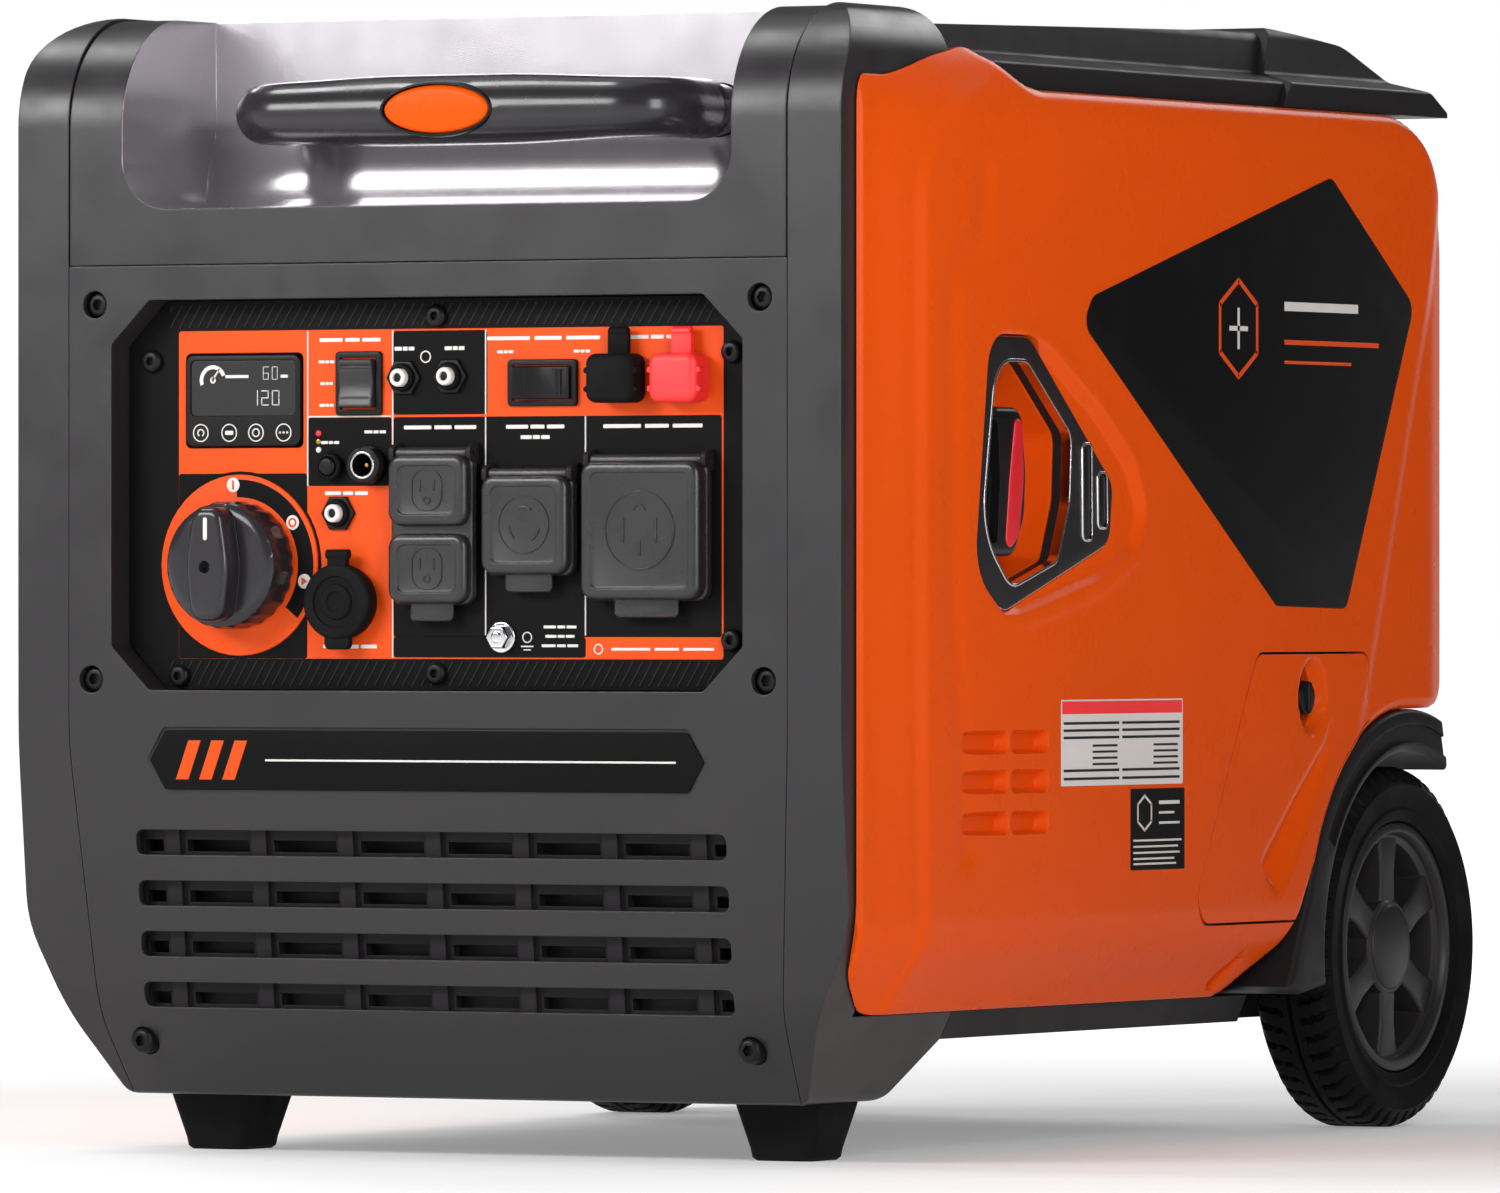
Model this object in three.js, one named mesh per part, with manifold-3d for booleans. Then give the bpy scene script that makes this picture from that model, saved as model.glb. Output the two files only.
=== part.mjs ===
// Portable inverter generator on two wheels, with a telescopic pull handle.
// Millimetres, +X right, +Y to the rear, +Z up. The origin is on the ground under the middle of the box.
import * as THREE from 'three';
import { mergeVertices } from 'three/addons/utils/BufferGeometryUtils.js';
import Module from 'manifold-3d';

const wasm = await Module();
wasm.setup();

// ---------------------------------------------------------------- driving dimensions
const bodyWidth = 478;           // across the two orange side panels
const bodyLength = 650;          // front face to the rear edge of the side panels
const bodyHeight = 558;          // ground to the highest point of the rear cap
const groundClearance = 28;      // ground to the underside of the body
const wall = 4;                  // moulded casing wall
const seam = 0.5;                // gap between two fixed pieces
const play = 0.5;                // gap around a piece that moves

const wheelRadius = 92;
const wheelWidth = 45;
const axleSetback = 604;         // front face to the axle
const axleRadius = 8;
const archGap = 30;              // tyre to the edge of the orange panel
const fenderGap = 8;             // tyre to the underside of the fender
const rimRadius = 63;
const spokeCount = 6;

const hoopSeamHalf = 198;        // half the width of the front cover between the two hoops
const hoopHalf = 227;            // half the width across the hoops
const hoopDepth = 112;           // front face to the rear edge of a hoop
const frontTopRadius = 65;       // round of the front face into the top
const sideTopRadius = 30;        // round of the sides into the top
const bellyHalf = 188;           // half the width of the flat underside
const shoulder = 112;            // height where the sides start to draw in to the underside
const floorStep = 57;            // underside behind the front feet
const stepDepth = 150;           // front face to the step in the underside
const sillHeight = 71;           // lower edge of the orange panels
const panelTop = 516;            // upper edge of the orange panels behind the hoops
const panelProud = 8;            // main orange face, proud of the panel's front edge

const housingBottom = 431.6;     // seam between the handle housing and the front cover
const scoopHalf = 168;
const scoopFloor = 458.5;
const scoopDepth = 90;
const gripSetback = 30;
const gripHeight = 505;
const gripHalf = 129.5;
const gripRadius = 15;
const tubeRadius = 12.5;
const tubeReach = 465;           // length of a sliding tube behind the grip
const guideWall = 2;
const buttonHalfWidth = 30.5;
const buttonHalfHeight = 13;

const panelHalf = 174.3;         // control panel recess, half width
const panelLow = 225.2;
const panelHigh = 414.5;
const panelChamfer = 21.5;
const panelDepth = 17;           // front face to the panel's own face
const plateThickness = 2.5;

const grilleHalf = 163;
const grilleTop = 151.4;         // centre height of the top slot
const grillePitch = 24.7;
const grilleSlots = 4;
const slotHeight = 12.3;
const ribCount = 7;
const ribPitch = 48.5;
const ribWidth = 8;

const plateHalf = 154.4;         // shallow recess for the name plate
const plateLow = 175.8;
const plateHigh = 207.2;
const plateRecess = 1.2;

const knobRadius = 31;
const knobReach = 34;            // panel face to the front of the knob
const dialRadius = 44;
const fuelKnobAt = [-111.4, 285.8];

// ---------------------------------------------------------------- frame
const knobProud = knobReach - panelDepth;
const overallLength = knobProud + axleSetback + wheelRadius;
const front = -overallLength / 2 + knobProud;    // Y of the front face
const at = (depth) => front + depth;             // Y of a depth measured from the front face
const panelFace = at(panelDepth);
const halfWidth = bodyWidth / 2;
const wheelOuter = halfWidth - 7;
const wheelInner = wheelOuter - wheelWidth;
const axleY = at(axleSetback);
const axleZ = wheelRadius;
const tubeX = gripHalf - gripRadius;
const archRadius = wheelRadius + archGap;

// ---------------------------------------------------------------- materials
const finish = (color, roughness, metalness = 0) =>
  new THREE.MeshStandardMaterial({ color, roughness, metalness });
const materials = {
  orange: finish(0xe85a1e, 0.35),
  casing: finish(0x4b484b, 0.5),
  trim: finish(0x3a383a, 0.5),
  black: finish(0x1c1b1c, 0.45),
  gripBlack: finish(0x2a292b, 0.3),
  rubber: finish(0x1a1a1b, 0.85),
  red: finish(0xff3232, 0.4),
  recoilRed: finish(0xd82028, 0.35),
  chrome: finish(0xd8d8da, 0.15, 1),
  steel: finish(0xb0b0b2, 0.35, 1),
  castMetal: finish(0x9a9c9e, 0.55, 1),
};

// ---------------------------------------------------------------- solids
const axisX = new THREE.Vector3(1, 0, 0);
const axisY = new THREE.Vector3(0, 1, 0);
const axisZ = new THREE.Vector3(0, 0, 1);
const bases = {
  x: new THREE.Matrix4().makeBasis(axisY, axisZ, axisX),
  y: new THREE.Matrix4().makeBasis(axisX, axisZ, axisY.clone().negate()),
  z: new THREE.Matrix4().makeBasis(axisX, axisY, axisZ),
};

// A closed BufferGeometry as a manifold solid.
function solid(geometry) {
  const bare = geometry.clone();
  bare.deleteAttribute('normal');
  bare.deleteAttribute('uv');
  const merged = mergeVertices(bare, 1e-3);
  return new wasm.Manifold(new wasm.Mesh({
    numProp: 3,
    vertProperties: new Float32Array(merged.attributes.position.array),
    triVerts: new Uint32Array(merged.index.array),
  }));
}

// Corner list [u, v, radius] to an outline whose corners are arcs.
function filleted(corners, segments = 4) {
  const outline = [];
  corners.forEach(([u, v, wanted = 0], i) => {
    const corner = new THREE.Vector2(u, v);
    const before = new THREE.Vector2(...corners.at(i - 1).slice(0, 2)).sub(corner);
    const after = new THREE.Vector2(...corners[(i + 1) % corners.length].slice(0, 2)).sub(corner);
    const room = 0.49 * Math.min(before.length(), after.length());
    before.normalize();
    after.normalize();
    const half = Math.acos(THREE.MathUtils.clamp(before.dot(after), -1, 1)) / 2;
    const trim = Math.min(wanted / Math.tan(half), room);
    const radius = trim * Math.tan(half);
    if (radius < 0.05) {
      outline.push(corner);
      return;
    }
    const bisector = before.clone().add(after).normalize();
    const centre = corner.clone().addScaledVector(bisector, radius / Math.sin(half));
    const start = corner.clone().addScaledVector(before, trim).sub(centre);
    const end = corner.clone().addScaledVector(after, trim).sub(centre);
    const sweep = Math.atan2(start.cross(end), start.dot(end));
    for (let k = 0; k <= segments; k += 1) {
      outline.push(start.clone().rotateAround(new THREE.Vector2(), sweep * k / segments).add(centre));
    }
  });
  return outline;
}

const shift = (corners, du, dv) => corners.map(([u, v, r]) => [u + du, v + dv, r]);
const rectangle = (u0, u1, v0, v1, r = 0) => [[u0, v0, r], [u1, v0, r], [u1, v1, r], [u0, v1, r]];

function ellipse(u, v, ru, rv, count = 20) {
  return Array.from({ length: count }, (_, k) => {
    const angle = 2 * Math.PI * k / count;
    return new THREE.Vector2(u + ru * Math.cos(angle), v + rv * Math.sin(angle));
  });
}

// An outline pushed along one axis: x takes (Y, Z), y takes (X, Z), z takes (X, Y).
function prism(axis, outline, from, to, bevel = 0) {
  const points = outline[0] instanceof THREE.Vector2 ? outline : filleted(outline);
  const geometry = new THREE.ExtrudeGeometry(new THREE.Shape(points), {
    depth: to - from - 2 * bevel,
    bevelEnabled: bevel > 0,
    bevelThickness: bevel,
    bevelSize: bevel,
    bevelOffset: -bevel,
    bevelSegments: 1,
  });
  geometry.translate(0, 0, bevel);
  geometry.applyMatrix4(bases[axis]);
  const start = axis === 'y' ? to : from;
  geometry.translate(axis === 'x' ? start : 0, axis === 'y' ? start : 0, axis === 'z' ? start : 0);
  return solid(geometry);
}

const box = (x, y, z) => prism('z', rectangle(x[0], x[1], y[0], y[1]), z[0], z[1]);
const rod = (axis, u, v, r, from, to, count = 16) => prism(axis, ellipse(u, v, r, r, count), from, to);

// A profile of [radius, along] turned about an axis through (u, v).
function turned(axis, u, v, profile, count = 20) {
  const points = profile.map(([r, along]) => new THREE.Vector2(r, along));
  const geometry = new THREE.LatheGeometry(points, count);
  const quarter = Math.PI / 2;
  if (axis === 'x') geometry.rotateZ(-quarter).translate(0, u, v);
  if (axis === 'y') geometry.rotateX(0).translate(u, 0, v);
  if (axis === 'z') geometry.rotateX(quarter).translate(u, v, 0);
  return solid(geometry);
}

const join = (first, ...rest) => rest.reduce((sum, next) => sum.add(next), first);
const cut = (first, ...rest) => rest.reduce((left, next) => left.subtract(next), first);

const generator = new THREE.Group();

// A named mesh; solids are built in place, so a mesh needs no move of its own.
function piece(name, body, material) {
  const { vertProperties, triVerts } = body.getMesh();
  const geometry = new THREE.BufferGeometry();
  geometry.setAttribute('position', new THREE.BufferAttribute(vertProperties, 3));
  geometry.setIndex(new THREE.BufferAttribute(triVerts, 1));
  geometry.computeVertexNormals();
  const mesh = new THREE.Mesh(geometry, material);
  mesh.name = name;
  generator.add(mesh);
  return mesh;
}

const sides = { left: -1, right: 1 };
// Range of X on one side, given as two distances from the middle.
const span = (side, near, far) => (side > 0 ? [near, far] : [-far, -near]);

// ---------------------------------------------------------------- body outlines
// Front view of the body, at a half width and a top height.
function frontView(half, top, round = sideTopRadius) {
  const belly = bellyHalf + half - hoopHalf;
  return [
    [half, shoulder, 60], [half, top, round], [-half, top, round], [-half, shoulder, 60],
    [-belly, groundClearance, 8], [belly, groundClearance, 8],
  ];
}

const hoopTop = bodyHeight - 4;
const lean = { foot: 40, knee: 13, kneeHeight: 70, endHeight: 200 };
const leanPoints = (inset) => [
  [at(lean.foot) + inset, groundClearance, 4], [at(lean.knee) + inset, lean.kneeHeight, 60],
  [at(0) + inset, lean.endHeight, 300],
];
// Depth of the leaning front between its knee and its end.
const leanAt = (z) => at(lean.knee * (lean.endHeight - z) / (lean.endHeight - lean.kneeHeight));
// The seam between front cover and hoops, in (X, Z): it draws in towards the underside.
const seamLine = (inset) => [
  [hoopSeamHalf - inset, bodyHeight + 20], [hoopSeamHalf - inset, lean.endHeight, 300],
  [hoopSeamHalf - 10 - inset, 60, 60], [hoopSeamHalf - 14 - inset, groundClearance - 5],
];
const withinSeam = (inset) => prism('y', [
  ...seamLine(inset), ...seamLine(inset).map(([x, z, r]) => [-x, z, r]).reverse(),
], at(-9), at(stepDepth + 20));

function hoopSideView() {
  return [
    ...leanPoints(0),
    [at(0), hoopTop, frontTopRadius],
    [at(hoopDepth), hoopTop, 4],
    [at(hoopDepth), panelTop + seam],
    [at(48), panelTop + seam, 20],
    [at(48), sillHeight - seam],
    [at(stepDepth), sillHeight - seam],
    [at(stepDepth), floorStep, 3],
    [at(stepDepth - 35), groundClearance, 20],
  ];
}

function hoop(side) {
  const envelope = prism('y', frontView(hoopHalf, hoopTop), at(-5), at(stepDepth + 10));
  return cut(prism('x', hoopSideView(), ...span(side, 150, hoopHalf + 5)).intersect(envelope), withinSeam(-seam));
}

// ---------------------------------------------------------------- front cover
const recessOutline = (inset) => {
  const half = panelHalf - inset;
  const low = panelLow + inset;
  const high = panelHigh - inset;
  const c = panelChamfer;
  return [
    [half, low + c, 3], [half, high - c, 3], [half - c, high, 3], [-half + c, high, 3],
    [-half, high - c, 3], [-half, low + c, 3], [-half + c, low, 3], [half - c, low, 3],
  ];
};
const caseScrews = [[183.5, 412.5], [185.6, 230.5], [168, 54.4]];
const screwRadius = 6.7;
const slotCentre = (k) => grilleTop - k * grillePitch;

function frontCover() {
  const top = housingBottom - seam;
  const back = at(lean.foot + 5);
  const profile = (inset) => [
    ...leanPoints(inset), [at(inset), top + (inset ? 9 : 0)],
    [back, top + (inset ? 9 : 0)], [back, groundClearance],
  ];
  const outer = prism('x', profile(0), -hoopSeamHalf, hoopSeamHalf).intersect(withinSeam(0));
  const inside = cut(
    prism('x', shift(profile(wall), 0, wall), -hoopSeamHalf, hoopSeamHalf).intersect(withinSeam(wall)),
    prism('y', recessOutline(-wall), at(-5), at(panelDepth + plateThickness + seam)),
  );
  const opening = prism('y', recessOutline(0), at(-5), at(60));
  const namePlate = prism('y', [
    [plateHalf, (plateLow + plateHigh) / 2, 2], [plateHalf - 9.5, plateHigh, 3],
    [-plateHalf + 9.5, plateHigh, 3], [-plateHalf, (plateLow + plateHigh) / 2, 2],
    [-plateHalf + 9.5, plateLow, 3], [plateHalf - 9.5, plateLow, 3],
  ], at(-5), at(plateRecess + 0.4));
  const slots = Array.from({ length: grilleSlots }, (_, k) => {
    const z = slotCentre(k);
    return prism('y', rectangle(-grilleHalf, grilleHalf, z - slotHeight / 2, z + slotHeight / 2, 2),
      at(-5), at(30));
  });
  const screws = caseScrews.flatMap(([x, z]) => [x, -x].map((sx) =>
    rod('y', sx, z, screwRadius, at(-5), at(60), 12)));
  return cut(outer, inside, opening, namePlate, ...slots, ...screws);
}

function grilleInsert() {
  const low = slotCentre(grilleSlots - 1) - 8;
  const high = slotCentre(0) + 12;
  const half = grilleHalf + 6;
  const slanted = (near, far) => [
    [leanAt(low) + near, low], [leanAt(high) + near, high], [leanAt(high) + far, high], [leanAt(low) + far, low],
  ];
  const ribs = Array.from({ length: ribCount }, (_, k) => {
    const x = (k - (ribCount - 1) / 2) * ribPitch;
    return prism('x', slanted(wall + 4, wall + 10), x - ribWidth / 2, x + ribWidth / 2);
  });
  const louvres = Array.from({ length: grilleSlots * (ribCount + 1) }, (_, i) => {
    const row = i % grilleSlots;
    const cell = Math.floor(i / grilleSlots) - (ribCount + 1) / 2 + 0.5;
    const z = slotCentre(row);
    const width = (ribPitch - ribWidth - 6) / 2;
    const x = cell * ribPitch;
    return box([Math.max(x - width, -grilleHalf), Math.min(x + width, grilleHalf)], [at(5), at(40)],
      [z - 4.5, z + 1.5]);
  });
  return cut(join(prism('x', slanted(wall + 9, wall + 12), -half, half), ...ribs), ...louvres);
}

// ---------------------------------------------------------------- handle housing and handle
function handleHousing() {
  const bottom = housingBottom;
  const outer = prism('x', [
    [at(0), bottom], [at(0), hoopTop - 1.5, frontTopRadius], [at(hoopDepth), hoopTop - 1.5, 3],
    [at(hoopDepth), bottom],
  ], -hoopSeamHalf + seam, hoopSeamHalf - seam);
  const scoop = prism('x', [
    [at(-5), scoopFloor], [at(scoopDepth), scoopFloor, 55], [at(scoopDepth), hoopTop + 20],
    [at(-5), hoopTop + 20],
  ], -scoopHalf, scoopHalf).intersect(prism('y', [
    [-scoopHalf, hoopTop + 30], [-scoopHalf, scoopFloor, 24], [scoopHalf, scoopFloor, 24],
    [scoopHalf, hoopTop + 30],
  ], at(-10), at(scoopDepth + 10)));
  const hollow = box([-hoopSeamHalf + 2 * wall, hoopSeamHalf - 2 * wall],
    [at(wall + 4), at(hoopDepth - wall)], [bottom - 1, scoopFloor - wall]);
  const tubeHoles = [-tubeX, tubeX].map((x) =>
    rod('y', x, gripHeight, tubeRadius + play, at(scoopDepth - 5), at(hoopDepth + 5)));
  return cut(outer, scoop, hollow, ...tubeHoles);
}

function handleGrip() {
  const y = at(gripSetback);
  const swell = 3;
  const bar = turned('x', y, gripHeight, [
    [0, -tubeX], [gripRadius, -tubeX], [gripRadius + swell, -tubeX / 2], [gripRadius + swell, tubeX / 2],
    [gripRadius, tubeX], [0, tubeX],
  ]);
  const corners = [-tubeX, tubeX].map((x) =>
    solid(new THREE.SphereGeometry(gripRadius, 16, 8).rotateZ(Math.PI / 2).translate(x, y, gripHeight)));
  const tubes = [-tubeX, tubeX].map((x) =>
    rod('y', x, gripHeight, tubeRadius, y, at(gripSetback + tubeReach)));
  const buttonPocket = prism('y',
    ellipse(0, gripHeight, buttonHalfWidth + play, buttonHalfHeight + play),
    y - gripRadius - 10, y - 7);
  return cut(join(bar, ...corners, ...tubes), buttonPocket);
}

const buttonTravel = 3;
function handleButton() {
  const y = at(gripSetback);
  const nose = y - gripRadius - 4;
  return prism('y', ellipse(0, gripHeight, buttonHalfWidth, buttonHalfHeight),
    nose, y - 7 - buttonTravel - play, 1.5);
}

function guideTube(side) {
  const inner = tubeRadius + play;
  const x = side * tubeX;
  const from = at(hoopDepth + seam);
  const to = at(gripSetback + tubeReach + 25);
  return cut(rod('y', x, gripHeight, inner + guideWall, from, to),
    rod('y', x, gripHeight, inner, from - 1, to + 1));
}

// ---------------------------------------------------------------- side panels
const doorHinge = { z: 107.5 };
const doorOutline = (inset) => {
  const arc = archPoints(archRadius + 4 + inset, 113, 156);
  return [
    [at(345 + inset), doorHinge.z + inset, 14],
    [at(470 - inset), doorHinge.z + inset, 2],
    ...arc.reverse(),
    [at(549 - inset), 243 - inset, 8],
    [at(421 + inset), 243 - inset, 12],
  ];
};

// Points on a circle about the axle, in (Y, Z), by angle in degrees from +Y.
function archPoints(radius, fromDegrees, toDegrees, count = 8) {
  return Array.from({ length: count + 1 }, (_, k) => {
    const angle = THREE.MathUtils.degToRad(fromDegrees + (toDegrees - fromDegrees) * k / count);
    return [axleY + radius * Math.cos(angle), axleZ + radius * Math.sin(angle)];
  });
}

const panelSideView = [
  [at(14), sillHeight, 50],
  [at(14), hoopTop - 10, 40],
  [at(113), hoopTop - 10, 12],
  [at(182), panelTop, 60],
  [at(bodyLength), panelTop, 75],
  [at(bodyLength), axleZ + archRadius, 14],
  ...archPoints(archRadius, 95, 158),
  [at(462), 96, 10],
  [at(428), sillHeight, 40],
];

const recoilOutline = (inset) => [
  [at(150), 262 + 1.15 * inset, 16], [at(264 - 1.1 * inset), 296 + 0.4 * inset, 12],
  [at(268 - 1.1 * inset), 326 - 0.5 * inset, 12], [at(178), 397 - 1.3 * inset, 22],
  [at(131 + 0.8 * inset), 397 - 1.3 * inset, 18], [at(115 + inset), 280, 30],
];

const skinInner = hoopHalf + 0.8;
function sidePanel(side) {
  const slab = prism('x', panelSideView, ...span(side, 190, halfWidth + 5));
  const outerFront = prism('y', frontView(halfWidth, hoopTop - 8, sideTopRadius + 6), at(0), at(bodyLength + 5));
  const innerFront = prism('y', frontView(skinInner, hoopTop + seam, sideTopRadius), at(-9), at(bodyLength + 9));
  const plan = prism('z', [
    [side * 190, at(10)], [side * (halfWidth - panelProud), at(10)],
    [side * (halfWidth - panelProud), at(15), 6], [side * halfWidth, at(66), 60],
    [side * halfWidth, at(bodyLength - 40), 40], [side * (halfWidth - 6), at(bodyLength + 1)],
    [side * 190, at(bodyLength + 1)],
  ], 0, bodyHeight);
  const hollow = prism('x', [
    [at(52), sillHeight + 12, 40], [at(52), panelTop - 20, 20], [at(bodyLength - 14), panelTop - 20, 60],
    [at(bodyLength - 14), axleZ + archRadius + 14], ...archPoints(archRadius + 12, 95, 158),
    [at(428), sillHeight + 12, 30],
  ], ...span(side, 190, halfWidth)).intersect(
    prism('y', frontView(halfWidth - wall - 2, hoopTop - 12, sideTopRadius), at(0), at(bodyLength)));
  return cut(slab.intersect(outerFront).intersect(plan), innerFront, hollow);
}

function rightSidePanel() {
  const recoilOpening = prism('x', recoilOutline(0), 190, halfWidth + 5);
  const doorOpening = prism('x', doorOutline(0), 190, halfWidth + 5);
  return cut(sidePanel(1), recoilOpening, doorOpening);
}

// ---------------------------------------------------------------- service door
const doorGap = 1.2;
const latchAt = [at(485), 220];
const latchSize = [9, 15];
function serviceDoor() {
  const latchPocket = prism('x', ellipse(...latchAt, latchSize[0] + play, latchSize[1] + play),
    190, halfWidth + 5);
  return cut(prism('x', doorOutline(doorGap), halfWidth - wall - 0.3, halfWidth - 0.3), latchPocket);
}

function doorLatch() {
  const slot = prism('x', rectangle(latchAt[0] - 1.5, latchAt[0] + 1.5, latchAt[1] - 9, latchAt[1] + 9),
    halfWidth - 3, halfWidth + 5);
  const stem = rod('x', ...latchAt, 6, halfWidth - 22, halfWidth - 4);
  const disc = rod('x', ...latchAt, latchSize[0] - play, halfWidth - 5, halfWidth - 1);
  return cut(join(disc, stem), slot);
}

// ---------------------------------------------------------------- recoil starter
const pocketFloor = halfWidth - 34;
const recoilGrip = { y: [133, 176], z: [290, 362] };
function recoilBezel() {
  const ring = prism('x', recoilOutline(seam), halfWidth - 12, halfWidth - 0.5, 1);
  return cut(ring, prism('x', recoilOutline(6), 190, halfWidth + 5));
}

function recoilPocket() {
  const tub = prism('x', recoilOutline(seam), pocketFloor - wall, halfWidth - 12 - seam);
  const ropeHole = rod('x', at(154), 326, 6, pocketFloor - 20, halfWidth);
  return cut(tub, prism('x', recoilOutline(seam + wall), pocketFloor, halfWidth + 5), ropeHole);
}

function recoilHandle() {
  const [y0, y1] = recoilGrip.y;
  const bar = prism('x', [
    [at(y0), recoilGrip.z[0], 9], [at(y1 - 8), recoilGrip.z[0], 9], [at(y1), (recoilGrip.z[0] + recoilGrip.z[1]) / 2, 40],
    [at(y1 - 4), recoilGrip.z[1], 9], [at(y0 + 4), recoilGrip.z[1], 9],
  ], halfWidth - 22, halfWidth - 2, 3);
  return join(bar, rod('x', at(154), 326, 9, pocketFloor + 1, halfWidth - 20));
}

// ---------------------------------------------------------------- covers
const topCoverView = (top, rails) => [
  [rails, panelTop + seam], [rails, 529, 2], [rails - 18, 534], [rails - 24, top, 8],
  [-rails + 24, top, 8], [-rails + 18, 534], [-rails, 529, 2], [-rails, panelTop + seam],
];
const capSeam = [500, 467];      // depth of the seam between top cover and rear cap, top and bottom
const guideNotches = () => [-tubeX, tubeX].map((x) =>
  rod('y', x, gripHeight, tubeRadius + play + guideWall + seam, at(hoopDepth - 2), at(gripSetback + tubeReach + 30)));
const fuelCapAt = [0, 300];
const fuelCapRadius = 38;
const capWellRadius = 52;
const capWellFloor = 528;
const neckRadius = 26;

function topCover() {
  const start = at(hoopDepth + seam);
  const topFront = hoopTop - 8;
  const topRear = bodyHeight - 2;
  const outer = prism('x', [
    [start, panelTop + seam], [start, topFront], [at(capSeam[0] - 3), topRear],
    [at(capSeam[1] - 1), panelTop + seam],
  ], -230, 230).intersect(prism('y', topCoverView(topRear, hoopHalf), start, at(capSeam[0])));
  const inner = box([-190, 190], [start + wall, at(capSeam[1]) - 2 * wall], [panelTop, topFront - wall]);
  const [x, depth] = fuelCapAt;
  const well = rod('z', x, at(depth), capWellRadius + wall, capWellFloor - wall, topRear, 28);
  return cut(join(cut(outer, inner), well.intersect(outer)),
    rod('z', x, at(depth), capWellRadius, capWellFloor, bodyHeight + 5, 28),
    rod('z', x, at(depth), neckRadius + 2, capWellFloor - 30, bodyHeight + 5, 28), ...guideNotches());
}

function rearTopCap() {
  const sideView = [
    [at(capSeam[1]), panelTop + seam], [at(capSeam[0]), bodyHeight, 4], [at(580), bodyHeight - 7, 60],
    [at(638), 529, 25], [at(658), panelTop + 3, 2], [at(658), panelTop + seam],
  ];
  const outer = prism('x', sideView, -240, 240)
    .intersect(prism('y', topCoverView(bodyHeight, hoopHalf + 4), at(440), at(670)));
  return cut(outer, box([-186, 186], [at(capSeam[0] + 4), at(620)], [panelTop, 532]), ...guideNotches());
}

const exhaustAt = [-60, 330];
const exhaustRadius = 20;
const trayWheelHalf = wheelInner - 11;
function rearCover() {
  const rear = at(bodyLength - 6);
  const low = sillHeight + 2;
  const top = panelTop - 1;
  const arch = axleZ + archRadius + 1;
  const half = skinInner - 2;
  const outline = [
    [half, top, 12], [-half, top, 12], [-half, arch], [-trayWheelHalf, arch], [-trayWheelHalf, low],
    [trayWheelHalf, low], [trayWheelHalf, arch], [half, arch],
  ];
  const sideView = (inset) => [
    [at(575), top - inset], [rear - inset, top - inset, 75 - inset], [rear - inset, low - 1],
    [rear - 20, low - 1], [rear - 20, top - 45, 45], [at(575), top - wall - 2 * inset],
  ];
  const outer = prism('x', sideView(0), -half, half).intersect(prism('y', outline, at(560), at(bodyLength)));
  const slots = Array.from({ length: 8 }, (_, k) => {
    const z = 120 + 22 * k;
    return prism('y', rectangle(-150, 150, z, z + 9, 3), at(560), at(bodyLength));
  });
  const recess = box([-160, 160], [at(560), rear - wall], [low + wall, top - 110]);
  const outlet = rod('y', ...exhaustAt, exhaustRadius + 6, at(560), at(bodyLength));
  return cut(outer, recess, ...slots, outlet);
}

function baseTray() {
  const top = sillHeight - seam;
  const rear = at(bodyLength - 8);
  const sideView = (inset, up) => [
    [at(lean.foot + 6) + inset, groundClearance + inset], [at(stepDepth - 35) - inset, groundClearance + inset],
    [at(stepDepth) - inset, floorStep + inset], [rear - inset, floorStep + inset], [rear - inset, top + up],
    [at(lean.foot + 6) + inset, top + up],
  ];
  const plan = (inset) => {
    const half = hoopHalf - inset;
    const front = hoopSeamHalf - 16 - inset;
    const edge = [
      [front, at(0)], [front, at(stepDepth + seam) + inset], [half, at(stepDepth + seam) + inset],
      [half, at(466) - inset], [trayWheelHalf - inset, at(482) - inset], [trayWheelHalf - inset, rear + 5],
    ];
    return prism('z', [...edge, ...edge.map(([x, y]) => [-x, y]).reverse()], 0, bodyHeight);
  };
  const section = (inset) => prism('y', frontView(hoopHalf - inset, bodyHeight, 0), at(0), rear + 5);
  const outer = prism('x', sideView(0, 0), -hoopHalf, hoopHalf).intersect(plan(0)).intersect(section(0));
  const inner = prism('x', sideView(wall, 5), -hoopHalf, hoopHalf).intersect(plan(wall)).intersect(section(wall));
  const brackets = [-150, 150].map((x) => cut(
    box([x - 6, x + 6], [axleY - 20, axleY + 20], [floorStep + 1, axleZ + 18]),
    rod('x', axleY, axleZ, axleRadius + play, x - 9, x + 9),
  ));
  return join(cut(outer, inner), ...brackets);
}

function fender(side) {
  const outer = archRadius - seam;
  const inner = wheelRadius + fenderGap;
  const ring = [
    ...archPoints(outer, 72, 165, 12), [at(462), sillHeight + 4], [at(478), sillHeight],
    ...archPoints(inner, 64, 190, 14).reverse(), [at(646), 192],
  ];
  return prism('x', ring, ...span(side, wheelInner - 6, halfWidth - 2));
}

function foot(side) {
  const height = groundClearance - 0.3;
  const geometry = new THREE.CylinderGeometry(46 / Math.SQRT2, 34 / Math.SQRT2, height, 4);
  geometry.rotateY(Math.PI / 4).rotateX(Math.PI / 2).translate(side * 157, at(87), height / 2);
  return solid(geometry);
}

// ---------------------------------------------------------------- wheels
function tyre(side) {
  const [x0, x1] = span(side, wheelInner, wheelOuter);
  const bead = rimRadius + seam;
  return turned('x', axleY, axleZ, [
    [bead, x0 + 4], [wheelRadius - 9, x0], [wheelRadius - 2, x0 + 6], [wheelRadius, x0 + 12],
    [wheelRadius, x1 - 12], [wheelRadius - 2, x1 - 6], [wheelRadius - 9, x1], [bead, x1 - 4], [bead, x0 + 4],
  ], 32);
}

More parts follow.
